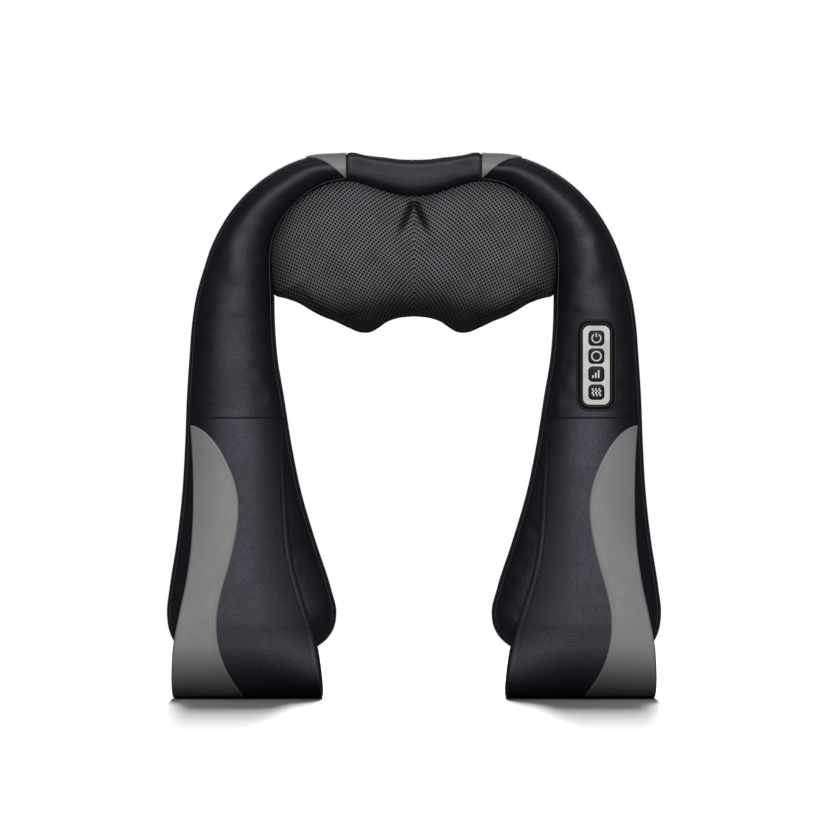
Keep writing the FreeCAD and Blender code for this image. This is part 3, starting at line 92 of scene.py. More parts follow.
# %% Shared measures
plate_low, plate_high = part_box("right_head_plate")
HEAD_X = (plate_low[0] + plate_high[0]) / 2 / MM
HEAD_Z = (plate_low[2] + plate_high[2]) / 2 / MM
BEND_Z = next(j["pos_m"][2] for j in frame["joints"] if j["name"] == "left_arm_bend") / MM
STRAP_SEAM_HEIGHT = 0.238
SEAM_Z = max(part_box("left_arm_cover")[0][2], STRAP_SEAM_HEIGHT) / MM
ARM_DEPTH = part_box("right_arm_cover")[1][1] / MM
STRAP_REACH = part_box("right_strap")[1][1] / MM
COVER_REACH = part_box("rear_cover")[1][1] / MM
COVER_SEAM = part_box("rear_cover")[0][1] / MM
print(f"heads at x {HEAD_X:.1f} z {HEAD_Z:.1f}, bend at z {BEND_Z:.0f}, seam at z {SEAM_Z:.0f}")
print(f"arm depth {ARM_DEPTH:.1f}, strap reach {STRAP_REACH:.1f}, cover reach {COVER_REACH:.1f}")

# %% [markdown]
# ## Camera
# The object is seen square from the front, as in a catalogue. A very long lens from six metres
# away keeps the straps, which stand nearer to us than the arms, from looking too large.

# %% Camera
camera_data = bpy.data.cameras.new("catalogue_camera")
camera_data.lens = 300
camera_data.sensor_width = 36
camera = bpy.data.objects.new("catalogue_camera", camera_data)
camera.location = (0.0017, -5.892, 0.239)
camera.rotation_euler = (math.radians(90), 0, 0)
bpy.context.scene.collection.objects.link(camera)
bpy.context.scene.camera = camera
print("camera", tuple(round(v, 3) for v in camera.location), "lens", camera_data.lens)

# %% [markdown]
# ## Floor and light
# Dark leather shows its form only by what it reflects. One broad soft light above the camera
# gives the long sheen down the middle of each arm. The surroundings look white to the camera, but
# the leather sees them dark, so the sides of the arms stay dark, as they do in a studio with
# black flags. The floor plays the same trick: it is pale to the eye, throws little light back up,
# and fades out with distance, so that it has no horizon. A tall narrow light behind the object
# lights only the floor, and only the straps shade it, so that a soft shadow runs forward from
# each.

# %% Floor
FLOOR_RADIUS, FLOOR_SIDES = 1.6, 96
FLOOR_DROP = 0.0004
turns = [2 * math.pi * k / FLOOR_SIDES for k in range(FLOOR_SIDES)]
floor_mesh = bpy.data.meshes.new("studio_floor")
floor_mesh.from_pydata([(FLOOR_RADIUS * math.cos(a), FLOOR_RADIUS * math.sin(a), -FLOOR_DROP)
                        for a in turns], [], [tuple(range(FLOOR_SIDES))])
floor = bpy.data.objects.new("studio_floor", floor_mesh)
bpy.context.scene.collection.objects.link(floor)
floor_paint = bpy.data.materials.new("floor_paint")
floor_paint.use_nodes = True
tree = floor_paint.node_tree
floor_shader = tree.nodes["Principled BSDF"]
floor_shader.inputs["Roughness"].default_value = 0.7
floor_shader.inputs["Specular IOR Level"].default_value = 0.15
seen = tree.nodes.new("ShaderNodeLightPath")
pale = tree.nodes.new("ShaderNodeMix")
pale.data_type = "RGBA"
pale.inputs["A"].default_value = (0.10, 0.10, 0.10, 1)
pale.inputs["B"].default_value = (0.94, 0.94, 0.94, 1)
tree.links.new(seen.outputs["Is Camera Ray"], pale.inputs["Factor"])
tree.links.new(pale.outputs["Result"], floor_shader.inputs["Base Color"])
centre_distance = tree.nodes.new("ShaderNodeVectorMath")
centre_distance.operation = "LENGTH"
tree.links.new(tree.nodes.new("ShaderNodeTexCoord").outputs["Object"], centre_distance.inputs[0])
fade = tree.nodes.new("ShaderNodeMapRange")
fade.interpolation_type = "SMOOTHSTEP"
for label, number in (("From Min", 0.45), ("From Max", 1.25), ("To Min", 1.0), ("To Max", 0.0)):
    fade.inputs[label].default_value = number
tree.links.new(centre_distance.outputs["Value"], fade.inputs["Value"])
tree.links.new(fade.outputs["Result"], floor_shader.inputs["Alpha"])
floor_mesh.materials.append(floor_paint)
print("floor", FLOOR_RADIUS * 2, "m across")

# %% Light
bpy.context.scene.view_settings.view_transform = "Standard"
world = bpy.data.worlds.new("pale_studio")
bpy.context.scene.world = world
world.use_nodes = True
sky = world.node_tree
sky.nodes.clear()
sky_out = sky.nodes.new("ShaderNodeOutputWorld")
sky_mix = sky.nodes.new("ShaderNodeMixShader")
sky_path = sky.nodes.new("ShaderNodeLightPath")
sky_seen = sky.nodes.new("ShaderNodeBackground")
sky_felt = sky.nodes.new("ShaderNodeBackground")
sky_seen.inputs["Color"].default_value = (1, 1, 1, 1)
sky_seen.inputs["Strength"].default_value = 1.0
sky_felt.inputs["Color"].default_value = (0.90, 0.93, 1.0, 1)
sky_felt.inputs["Strength"].default_value = 0.10
sky.links.new(sky_path.outputs["Is Camera Ray"], sky_mix.inputs["Fac"])
sky.links.new(sky_felt.outputs[0], sky_mix.inputs[1])
sky.links.new(sky_seen.outputs[0], sky_mix.inputs[2])
sky.links.new(sky_mix.outputs[0], sky_out.inputs["Surface"])


def soft_light(name, place, aim, width, height, power):
    """A large area light that looks at a point."""
    data = bpy.data.lights.new(name, "AREA")
    data.shape = "RECTANGLE"
    data.size = width
    data.size_y = height
    data.energy = power
    lamp = bpy.data.objects.new(name, data)
    lamp.location = place
    lamp.rotation_euler = (Vector(aim) - Vector(place)).to_track_quat("-Z", "Y").to_euler()
    bpy.context.scene.collection.objects.link(lamp)
    return lamp


FLOOR_POWER = 1900
front_sheen = soft_light("front_sheen", (0.0, -3.2, 1.15), (0, 0, 0.25), 1.5, 1.1, 68)
soft_light("top_bank", (0, 0.3, 2.4), (0, 0, 0.2), 1.6, 1.2, 5)
soft_light("rear_fill", (0.0, 3.0, 1.0), (0, 0, 0.25), 1.6, 1.0, 15)
floor_light = soft_light("floor_light", (0, 9.0, 5.6), (0, -0.2, 0), 0.7, 9.0, FLOOR_POWER)
floor_only = bpy.data.collections.new("floor_only")
floor_only.objects.link(floor)
floor_light.light_linking.receiver_collection = floor_only
floor_shade = bpy.data.collections.new("floor_shade")
floor_light.light_linking.blocker_collection = floor_shade
not_floor = bpy.data.collections.new("not_floor")
not_floor.objects.link(floor)
not_floor.collection_objects[0].light_linking.link_state = "EXCLUDE"
front_sheen.light_linking.receiver_collection = not_floor

# %% [markdown]
# ## Tools for shader groups
# An effect that several finishes share, such as leather grain, is a node group with named inputs
# and outputs. It is built once, and each material places it with its own values. The helper below
# makes an empty group with its sockets, and a second one wires small sums of Math nodes.


# %% Shader helpers
def new_group(name, inputs, outputs):
    """A shader node group with float inputs (name, default) and float outputs."""
    group = bpy.data.node_groups.new(name, "ShaderNodeTree")
    for label, default in inputs:
        socket = group.interface.new_socket(name=label, in_out="INPUT",
                                            socket_type="NodeSocketFloat")
        socket.default_value = default
    for label in outputs:
        group.interface.new_socket(name=label, in_out="OUTPUT", socket_type="NodeSocketFloat")
    start = group.nodes.new("NodeGroupInput")
    end = group.nodes.new("NodeGroupOutput")
    return group, start, end


def feed(tree, value, socket):
    """Links a node's output, or sets a plain number."""
    if isinstance(value, bpy.types.NodeSocket):
        tree.links.new(value, socket)
    else:
        socket.default_value = value


def math_node(tree, operation, a, b=0.0, c=0.0, clamp=False):
    """One Math node; returns its output socket."""
    node = tree.nodes.new("ShaderNodeMath")
    node.operation = operation
    node.use_clamp = clamp
    for socket, value in zip(node.inputs, (a, b, c)):
        feed(tree, value, socket)
    return node.outputs[0]


def remap(tree, value, low, high, new_low=0.0, new_high=1.0):
    """Maps a value smoothly from one range to another."""
    node = tree.nodes.new("ShaderNodeMapRange")
    node.interpolation_type = "SMOOTHSTEP"
    feed(tree, value, node.inputs["Value"])
    for label, number in (("From Min", low), ("From Max", high), ("To Min", new_low),
                          ("To Max", new_high)):
        feed(tree, number, node.inputs[label])
    return node.outputs["Result"]


def object_point(tree):
    """The point on the surface in the object's own metres."""
    return tree.nodes.new("ShaderNodeTexCoord").outputs["Object"]


def noise_at(tree, point, scale, detail, roughness=0.55):
    """Noise at a point, from 0 to 1."""
    node = tree.nodes.new("ShaderNodeTexNoise")
    tree.links.new(point, node.inputs["Vector"])
    feed(tree, scale, node.inputs["Scale"])
    node.inputs["Detail"].default_value = detail
    node.inputs["Roughness"].default_value = roughness
    return node.outputs["Fac"]


def cells_at(tree, point, scale):
    """Distance of a point from the edge of its Voronoi cell."""
    node = tree.nodes.new("ShaderNodeTexVoronoi")
    node.feature = "DISTANCE_TO_EDGE"
    tree.links.new(point, node.inputs["Vector"])
    feed(tree, scale, node.inputs["Scale"])
    return node.outputs["Distance"]


# %% [markdown]
# ## Leather grain
# Coated leather has a pebbled grain about a millimetre across, parted by fine valleys, and a
# slower unevenness where the hide was stretched over the foam. Voronoi cells measured to their
# edges make the pebbles, and noise breaks them up. Tone and gloss drift a little over the hide,
# because hands polish some places more than others.

# %% Leather grain group
grain_group, start, end = new_group(
    "leather_grain", [("Pebble Scale", 950.0), ("Drift Scale", 14.0)],
    ["Height", "Tone", "Gloss"])
point = object_point(grain_group)
pebbles = cells_at(grain_group, point, start.outputs["Pebble Scale"])
valleys = remap(grain_group, pebbles, 0.02, 0.22)
fine = noise_at(grain_group, point, math_node(
    grain_group, "MULTIPLY", start.outputs["Pebble Scale"], 2.7), 2.0)
slow = noise_at(grain_group, point, math_node(
    grain_group, "MULTIPLY", start.outputs["Drift Scale"], 6.0), 3.0)
drift = noise_at(grain_group, point, start.outputs["Drift Scale"], 2.0)
height = math_node(grain_group, "MULTIPLY_ADD", fine, 0.35, valleys)
height = math_node(grain_group, "MULTIPLY_ADD", slow, 0.35, height)
feed(grain_group, height, end.inputs["Height"])
tone = math_node(grain_group, "MULTIPLY_ADD", valleys, 0.35, math_node(
    grain_group, "MULTIPLY", remap(grain_group, drift, 0.3, 0.7), 0.65))
feed(grain_group, tone, end.inputs["Tone"])
gloss = math_node(grain_group, "MULTIPLY_ADD", remap(grain_group, slow, 0.3, 0.7), 0.5,
                  math_node(grain_group, "MULTIPLY", remap(grain_group, drift, 0.25, 0.75), 0.5))
feed(grain_group, gloss, end.inputs["Gloss"])
print("group leather_grain:", [s.name for s in grain_group.interface.items_tree])

# %% [markdown]
# ## Handling marks
# Plastic and metal parts pick up faint smears and fine dust. One group gives both as masks:
# smears change the roughness, and dust greys the colour a little where it settles on faces that
# look up.

# %% Handling marks group
marks_group, start, end = new_group(
    "handling_marks", [("Smear Scale", 60.0), ("Dust Scale", 900.0)], ["Smear", "Dust"])
point = object_point(marks_group)
smear = noise_at(marks_group, point, start.outputs["Smear Scale"], 4.0, 0.65)
feed(marks_group, remap(marks_group, smear, 0.35, 0.7), end.inputs["Smear"])
specks = noise_at(marks_group, point, start.outputs["Dust Scale"], 2.0)
specks = remap(marks_group, specks, 0.55, 0.75)
normal_z = marks_group.nodes.new("ShaderNodeSeparateXYZ")
geometry = marks_group.nodes.new("ShaderNodeNewGeometry")
marks_group.links.new(geometry.outputs["Normal"], normal_z.inputs[0])
upward = remap(marks_group, normal_z.outputs["Z"], 0.2, 0.9)
feed(marks_group, math_node(marks_group, "MULTIPLY", specks, upward), end.inputs["Dust"])
print("group handling_marks:", [s.name for s in marks_group.interface.items_tree])


# %% [markdown]
# ## Materials
# Each finish is a Principled shader of its own. The groups only send it colours, values and
# heights. What is the same all over a surface stays as a plain number on the shader's socket.


# %% Material helpers
def new_material(name, **constants):
    """A material with its Principled shader, and plain numbers set on that shader."""
    material = bpy.data.materials.new(name)
    material.use_nodes = True
    shader = material.node_tree.nodes["Principled BSDF"]
    for label, number in constants.items():
        shader.inputs[label.replace("_", " ")].default_value = number
    return material, material.node_tree, shader


def place_group(tree, group, **values):
    """Puts a group in a material with its own values; underscores stand for spaces."""
    node = tree.nodes.new("ShaderNodeGroup")
    node.node_tree = group
    for label, number in values.items():
        node.inputs[label.replace("_", " ")].default_value = number
    return node


def mixed(tree, mask, first, second):
    """Mixes two colours by a mask; each is a plain colour or a node's output."""
    mix = tree.nodes.new("ShaderNodeMix")
    mix.data_type = "RGBA"
    for label, value in (("Factor", mask), ("A", first), ("B", second)):
        feed(tree, value, mix.inputs[label])
    return mix.outputs["Result"]


def bump(tree, height, shader, distance, strength):
    """Tilts a shader's normal by a height."""
    node = tree.nodes.new("ShaderNodeBump")
    node.inputs["Strength"].default_value = strength
    node.inputs["Distance"].default_value = distance
    tree.links.new(height, node.inputs["Height"])
    tree.links.new(node.outputs["Normal"], shader.inputs["Normal"])


# %% Leather, black and grey
def leather(name, dark, light, low_rough, high_rough, pebble, coat_colour=(1, 1, 1), painted_shade_depth=0.0):
    """Coated leather: pebble grain, drifting tone and gloss, and a tint in its shine.

    The last argument darkens the colour towards the floor: painted shade where the strap turns
    under.
    """
    material, tree, shader = new_material(name, Specular_IOR_Level=0.5,
                                          Specular_Tint=(*coat_colour, 1))
    grain = place_group(tree, grain_group, Pebble_Scale=pebble)
    colour = mixed(tree, grain.outputs["Tone"], (*dark, 1), (*light, 1))
    # painted shade: the colour darkens towards the floor, where the strap turns under the pad
    if painted_shade_depth:
        split = tree.nodes.new("ShaderNodeSeparateXYZ")
        tree.links.new(object_point(tree), split.inputs[0])
        painted_shade_mask = remap(tree, split.outputs["Z"], -0.005, 0.062, painted_shade_depth, 0.0)
        colour = mixed(tree, painted_shade_mask, colour, (0.012, 0.012, 0.013, 1))
    tree.links.new(colour, shader.inputs["Base Color"])
    rough = remap(tree, grain.outputs["Gloss"], 0.0, 1.0, low_rough, high_rough)
    tree.links.new(rough, shader.inputs["Roughness"])
    bump(tree, grain.outputs["Height"], shader, 0.00009, 0.55)
    return material


black_leather = leather("black_leather", (0.0050, 0.0048, 0.0072), (0.0085, 0.0082, 0.0115),
                        0.43, 0.48, 950.0, (0.84, 0.82, 1.0))
# the grey leather gets painted shade towards the floor
grey_leather = leather("grey_leather", (0.245, 0.249, 0.247), (0.305, 0.310, 0.307),
                       0.42, 0.56, 1050.0, painted_shade_depth=0.92)
print("leathers:", black_leather.name, grey_leather.name)

# %% [markdown]
# ## The horseshoe as a ladder of rungs
# Each arm is cut from two flat panels with a narrow gusset between them, so its front view is an
# outline and its thickness depends only on how far a point is from that outline. A ladder follows
# the arm: each rung runs from the inner edge to the outer edge. Close to an edge the surface
# curves away, and in the middle it is nearly flat. The rungs turn with the shoulder, lie level
# down the arm, and shrink into the rounded end of the pad.

# %% Outline of one arm
# inner x, inner z, outer x, outer z in millimetres from the object's middle and the floor
RUNGS = [
    (57.4, 437.0, 57.6, 461.8), (75, 433.5, 89, 459.3), (95, 420.5, 124, 443.5),
    (112, 400.6, 156, 412.5), (118.2, 384.4, 171, 386), (119.5, 365, 178.6, 364),
    (118.6, 342, 184.8, 342), (118, 317, 188.7, 317), (116, 290, 190.8, 290),
    (110.5, 256, 193, 256), (104, 215, 194.6, 215), (95.6, 174, 197, 174),
    (83.7, 133.5, 201.5, 133.5), (70.5, 92.7, 207.8, 92.7), (65.9, 72, 210, 72),
    (68.4, 58, 208.4, 58), (75, 48.5, 204.6, 48.5), (85, 41.5, 198.5, 41.5), (97, 38.2, 188, 38.2),
]
EDGE_ROUND = 52.0
FULLNESS = 2.2
APEX = 0.52
END_Z = RUNGS[-1][1]
END_ROUND = 30.0
COVER_SKIN = 0.3
SPAN_STEPS, FULL_SPANS = 24, 10
RUNG_GAP = 2.4


def spline_rows(rows, steps):
    """A smooth curve through rows of numbers, with the same number of steps in each span."""
    rows = np.asarray(rows, float)
    padded = np.vstack([2 * rows[0] - rows[1], rows, 2 * rows[-1] - rows[-2]])
    out = []
    for i in range(1, len(padded) - 2):
        p0, p1, p2, p3 = padded[i - 1:i + 3]
        a, b = p2 - p1, np.linalg.norm(p2 - p1)
        before, after = np.linalg.norm(p1 - p0), np.linalg.norm(p3 - p2)
        m1 = b * ((p1 - p0) / max(before, 1e-9) * b + a / max(b, 1e-9) * before) / (before + b)
        m2 = b * (a / max(b, 1e-9) * after + (p3 - p2) / max(after, 1e-9) * b) / (after + b)
        for t in np.arange(steps) / steps:
            out.append((2 * t**3 - 3 * t**2 + 1) * p1 + (t**3 - 2 * t**2 + t) * m1
                       + (-2 * t**3 + 3 * t**2) * p2 + (t**3 - t**2) * m2)
    out.append(rows[-1])
    return np.array(out)


def rounding(q):
    """0 at an edge, 1 from a share of one on, with an upright start and a level end."""
    q = np.clip(q, 0, 1)
    return (1 - (1 - q) ** FULLNESS) ** (1 / FULLNESS)


def running_length(path):
    """Length along a path, up to each of its points."""
    return np.concatenate([[0], np.cumsum(np.linalg.norm(np.diff(path, axis=0), axis=1))])


def even_spacing(rows, length, gap):
    """Picks rows again so that they are evenly spaced along a running length."""
    count = int(round(length[-1] / gap)) + 1
    wanted = np.linspace(0, length[-1], count)
    return np.stack([np.interp(wanted, length, rows[:, k]) for k in range(rows.shape[1])], axis=1)


def ladder():
    """The arm's rungs, evenly spaced along the middle of its front."""
    rows = spline_rows(RUNGS, SPAN_STEPS)
    middle = (rows[:, :2] + rows[:, 2:]) / 2
    depth = ARM_DEPTH * rounding((rows[:, 1] - END_Z) / END_ROUND)
    depth[:SPAN_STEPS * FULL_SPANS] = ARM_DEPTH
    return even_spacing(rows, running_length(np.column_stack([middle, depth])), RUNG_GAP)


arm_rungs = ladder()
print("rungs on each arm:", len(arm_rungs))


# %% Surface of one arm
def leaning(share):
    """Shifts the fullest line of the arm a little towards its outer side."""
    return np.where(share < APEX, share * 0.5 / APEX, 0.5 + (share - APEX) * 0.5 / (1 - APEX))


def arm_depth(rungs, share):
    """Half thickness of the arm on each rung at a share of its width, in millimetres."""
    width = np.hypot(rungs[:, 2] - rungs[:, 0], rungs[:, 3] - rungs[:, 1])[:, None]
    reach = np.minimum(EDGE_ROUND, width / 2)
    lean = leaning(share)
    side = rounding(width * np.minimum(lean, 1 - lean) / reach)
    z = rungs[:, 1:2] + (rungs[:, 3:4] - rungs[:, 1:2]) * share
    level = (rungs[:, 1] < BEND_Z)[:, None]
    end = np.where(level, rounding((z - END_Z) / END_ROUND), 1.0)
    return (ARM_DEPTH - COVER_SKIN) * side * end


def arm_surface(rungs, share, face):
    """Points of the arm's front (face -1) or rear (face 1), one row for each rung."""
    share = np.broadcast_to(share, (len(rungs), np.shape(share)[-1]))
    x = rungs[:, 0:1] + (rungs[:, 2:3] - rungs[:, 0:1]) * share
    z = rungs[:, 1:2] + (rungs[:, 3:4] - rungs[:, 1:2]) * share
    return np.stack([x, face * arm_depth(rungs, share), z], axis=-1)


def mesh_object(name, points, faces, side=1, smooth=True):
    """A mesh from points in millimetres; side -1 mirrors it to the left arm."""
    points = np.asarray(points, float).reshape(-1, 3) * MM
    points[:, 0] *= side
    mesh = bpy.data.meshes.new(name)
    mesh.from_pydata(points.tolist(), [], faces)
    work = bmesh.new()
    work.from_mesh(mesh)
    bmesh.ops.remove_doubles(work, verts=work.verts, dist=2e-6)
    bmesh.ops.dissolve_degenerate(work, edges=work.edges, dist=1e-7)
    bmesh.ops.recalc_face_normals(work, faces=work.faces)
    work.to_mesh(mesh)
    work.free()
    mesh.polygons.foreach_set("use_smooth", [smooth] * len(mesh.polygons))
    piece = bpy.data.objects.new(name, mesh)
    bpy.context.scene.collection.objects.link(piece)
    return piece


def tube_faces(rows, ring, capped=True):
    """Faces of a tube of rows of points, each row a closed ring."""
    faces = []
    for i in range(rows - 1):
        for j in range(ring):
            k = (j + 1) % ring
            faces.append((i * ring + j, i * ring + k, (i + 1) * ring + k, (i + 1) * ring + j))
    if capped:
        faces += [tuple(range(ring)), tuple(range((rows - 1) * ring, rows * ring))]
    return faces


# %% [markdown]
# ## Padding that settles
# A padded skin is cut flat, sewn shut and pressed out by its foam. The same is done here as a
# short cloth simulation: an even, coarse copy of the skin is held at its seams and pushed out from
# within, and it settles for twenty frames without gravity. Its moves are then carried over to the
# fine skin, but capped at a few tenths of a millimetre, so that nothing grows out of place. The
# mean move is beyond that cap, so what the cloth adds is slight: a little fullness that fades out
# at the held seams.


# %% Cloth helper
VOXEL, FRAMES, PRESSURE = 5.0, 20, 4.0
NEIGHBOURS, NEAREST = 5, 0.002


def settle(piece, held, cap):
    """Settles a closed skin as sewn cloth, and returns how far it would move on average (mm).

    held tells whether a point is sewn down, and cap is the furthest move, in millimetres.
    """
    scene = bpy.context.scene
    cloth_body = bpy.data.objects.new(f"{piece.name}_settling", piece.data.copy())
    scene.collection.objects.link(cloth_body)
    even = cloth_body.modifiers.new("even", "REMESH")
    even.mode = "VOXEL"
    even.voxel_size = VOXEL * MM
    graph = bpy.context.evaluated_depsgraph_get()
    coarse = bpy.data.meshes.new_from_object(cloth_body.evaluated_get(graph))
    cloth_body.modifiers.clear()
    cloth_body.data = coarse
    rest = np.empty(len(coarse.vertices) * 3)
    coarse.vertices.foreach_get("co", rest)
    rest = rest.reshape(-1, 3)
    seam = cloth_body.vertex_groups.new(name="seam")
    seam.add([i for i, point in enumerate(rest / MM) if held(point)], 1.0, "REPLACE")
    cloth = cloth_body.modifiers.new("cloth", "CLOTH")
    cloth.settings.quality = 5
    cloth.settings.mass = 0.3
    cloth.settings.use_pressure = True
    cloth.settings.uniform_pressure_force = PRESSURE
    cloth.settings.shrink_min = -0.03
    cloth.settings.vertex_group_mass = "seam"
    cloth.settings.effector_weights.gravity = 0.0
    cloth.point_cache.frame_start, cloth.point_cache.frame_end = 1, FRAMES
    for number in range(1, FRAMES + 1):
        scene.frame_set(number)
    graph = bpy.context.evaluated_depsgraph_get()
    settled_mesh = cloth_body.evaluated_get(graph).data
    ended = np.empty(len(rest) * 3)
    settled_mesh.vertices.foreach_get("co", ended)
    moves = ended.reshape(-1, 3) - rest
    size = np.linalg.norm(moves, axis=1, keepdims=True)
    moves *= np.minimum(1, cap * MM / np.maximum(size, 1e-9))
    moves[~np.isfinite(moves).all(axis=1)] = 0
    tree = kdtree.KDTree(len(rest))
    for i, point in enumerate(rest):
        tree.insert(point, i)
    tree.balance()
    for vertex in piece.data.vertices:
        found = tree.find_n(vertex.co, NEIGHBOURS)
        weights = np.array([1 / (away + NEAREST) for _, _, away in found])
        step = (moves[[i for _, i, _ in found]] * weights[:, None]).sum(0) / weights.sum()
        vertex.co += Vector(step)
    bpy.data.objects.remove(cloth_body)
    scene.frame_set(1)
    return float(size.mean() / MM)


# %% [markdown]
# ## Seams and piping
# What tells sewn leather from a moulded shell is its seams. Along a seam the leather dips, and a
# thin piped edge stands in the dip. Piping is a tube swept along the seam.


# %% Seam helpers
def frames_along(path):
    """Unit tangents of a path of points."""
    way = np.gradient(path, axis=0)
    return way / np.maximum(np.linalg.norm(way, axis=1), 1e-9)[:, None]


def swept_tube(path, radius, ring=8):
    """Points and faces of a round tube along a path, in millimetres."""
    path = np.asarray(path, float)
    way = frames_along(path)
    aside = np.cross(way[0], (0.3, 1.0, 0.2))
    rows = []
    for at, forward in zip(path, way):
        aside = aside - forward * aside.dot(forward)
        aside /= np.linalg.norm(aside)
        up = np.cross(forward, aside)
        angles = 2 * np.pi * np.arange(ring) / ring
        rows.append(at + radius * (np.cos(angles)[:, None] * aside + np.sin(angles)[:, None] * up))
    return np.array(rows), tube_faces(len(path), ring)


def resample(path, gap):
    """A path with evenly spaced points."""
    path = np.asarray(path, float)
    return even_spacing(path, running_length(path), gap)


def join_parts(parts):
    """Joins (points, faces) pairs into one."""
    points, faces = [], []
    for some_points, some_faces in parts:
        base = len(points)
        points.extend(np.asarray(some_points).reshape(-1, 3))
        faces.extend(tuple(base + i for i in face) for face in some_faces)
    return points, faces


# %% [markdown]
# ## Skin of the arms
# The skin is one piece from the top pad to the pad's end, because the real arm bends softly over a
# shoulder and the leather isn't cut there. A gusset seam runs along each edge, and the leather dips
# towards it and puckers a little between its stitches.

# %% Arm skins
# the seam's distance from the arm's edge, the leather held beside it, and the piping's radius
GUSSET, HELD_BY_SEAM, PIPING = 3.2, 2.5, 0.75
CROSS_STEPS = 52
PANEL_SPOT = [sum(corner[k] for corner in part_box("panel_plate")) / 2 / MM for k in (0, 2)]


def edge_distance(rungs, share):
    """Distance of a point from the arm's outline, in millimetres."""
    width = np.hypot(rungs[:, 2] - rungs[:, 0], rungs[:, 3] - rungs[:, 1])[:, None]
    side = width * np.minimum(share, 1 - share)
    end = np.where((rungs[:, 1] < BEND_Z)[:, None], rungs[:, 1:2] - END_Z, 1000.0)
    return np.minimum(side, end)


def leather_relief(surface, distance, phase):
    """Moves a surface in depth: a dip at the seam, puckers beside it and slow unevenness."""
    dip = 0.85 * np.exp(-((distance - GUSSET) / 0.75) ** 2)
    steps = np.diff(surface, axis=0, prepend=surface[:1])
    along = np.cumsum(np.linalg.norm(steps, axis=2), axis=0)
    near = np.exp(-((distance - GUSSET - 3.5) / 4.0) ** 2)
    pucker = 0.10 * near * np.sin(along / 1.9 + 2.5 * np.sin(along / 23.0 + phase))
    slow = np.array([[noise.noise(Vector(p) * 0.03 + Vector((phase, 0, 0))) for p in row]
                     for row in surface])
    inside = np.clip(distance / 12, 0, 1)
    return dip + pucker - 0.55 * slow * inside


def arm_skin_points(phase):
    """Rings of points round the arm: front from inner to outer edge, then back again."""
    share = (1 - np.cos(np.pi * np.arange(CROSS_STEPS + 1) / CROSS_STEPS)) / 2
    distance = edge_distance(arm_rungs, share[None, :])
    front = arm_surface(arm_rungs, share, -1)
    rear = arm_surface(arm_rungs, share, 1)
    front[..., 1] += np.minimum(leather_relief(front, distance, phase), -front[..., 1])
    rear[..., 1] -= np.minimum(leather_relief(rear, distance, phase + 4), rear[..., 1])
    return np.concatenate([front, rear[:, -2:0:-1]], axis=1)


def gusset_path(face):
    """The seam's line on one face: down the inner edge, round the end and up the outer edge."""
    width = np.hypot(arm_rungs[:, 2] - arm_rungs[:, 0], arm_rungs[:, 3] - arm_rungs[:, 1])
    keep = arm_rungs[:, 1] > END_Z + GUSSET
    rungs, width = arm_rungs[keep], width[keep]
    inner = arm_surface(rungs, (GUSSET / width)[:, None], face)[:, 0]
    outer = arm_surface(rungs, (1 - GUSSET / width)[:, None], face)[:, 0]
    last = rungs[-1:]
    shares = np.linspace(GUSSET / width[-1], 1 - GUSSET / width[-1], 60)
    across = arm_surface(last, shares, face)[0]
    path = resample(np.vstack([inner, across[1:-1], outer[::-1]]), 2.0)
    for _ in range(6):
        path[1:-1] = (path[:-2] + 2 * path[1:-1] + path[2:]) / 4
    return path


rung_edges = np.vstack([arm_rungs[:, :2], arm_rungs[:, 2:]])


def sewn_to_arm(point):
    """Sewn down: near the outline of the arm, and under the key panel's frame."""
    x, z = abs(point[0]), point[2]
    edge = np.hypot(rung_edges[:, 0] - x, rung_edges[:, 1] - z).min()
    panel = abs(x - PANEL_SPOT[0]) < 20 and abs(z - PANEL_SPOT[1]) < 42
    held = GUSSET + HELD_BY_SEAM
    return edge < held or z < END_Z + held or panel


for name, side in SIDES.items():
    rings = arm_skin_points(3.0 if side < 0 else 9.0)
    skin = mesh_object(f"{name}_arm_skin", rings, tube_faces(*rings.shape[:2]), side)
    skin.data.materials.append(black_leather)
    moved = settle(skin, sewn_to_arm, cap=0.5)
    paths = [gusset_path(face) for face in (-1, 1)]
    piping = mesh_object(f"{name}_arm_piping", *join_parts(
        [swept_tube(path - [0, math.copysign(0.35, path[0, 1]), 0], PIPING) for path in paths]),
        side)
    piping.data.materials.append(black_leather)
    for piece in (skin, piping):
        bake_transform(piece)
    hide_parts(f"{name}_arm_cover", f"{name}_arm_foam", f"{name}_shoulder_cover",
                f"{name}_shoulder_foam")
    print(skin.name, len(skin.data.vertices), "points; mean move before the cap", round(moved, 2))


# %% [markdown]
# ## Thick sheets
# Straps, patches and hems are flat leather with real thickness and turned edges. One helper takes
# a grid of points in the middle of the sheet and wraps it in a closed skin: top face, half-round
# edge, underside and the other edge. The half thickness may change across the sheet, so that a hem
# can be fuller and a stitch line can dip.


# %% Thick sheet helper
EDGE_STEPS = 4


def grid_normals(grid):
    """Unit normals at the points of a grid."""
    along = np.gradient(grid, axis=0)
    across = np.gradient(grid, axis=1)
    normal = np.cross(along, across)
    return normal / np.maximum(np.linalg.norm(normal, axis=2), 1e-9)[..., None]


def thick_sheet(grid, half):
    """Points and faces of a closed sheet round a grid. half is its half thickness everywhere."""
    half = np.broadcast_to(half, grid.shape[:2])
    normal = grid_normals(grid)
    across = np.gradient(grid, axis=1)
    across /= np.maximum(np.linalg.norm(across, axis=2), 1e-9)[..., None]
    rows = []
    turns = np.linspace(-np.pi / 2, np.pi / 2, EDGE_STEPS + 2)[1:-1]
    for i in range(len(grid)):
        top = grid[i] + normal[i] * half[i][:, None]
        under = grid[i] - normal[i] * half[i][:, None]
        far, near = ([grid[i, end] + way * half[i, end] * (
            across[i, end] * math.cos(a) - normal[i, end] * math.sin(a)) for a in turns]
            for end, way in ((-1, 1), (0, -1)))
        rows.append(np.vstack([top, far, under[::-1], near]))
    rows = np.array(rows)
    return rows, tube_faces(len(rows), rows.shape[1])


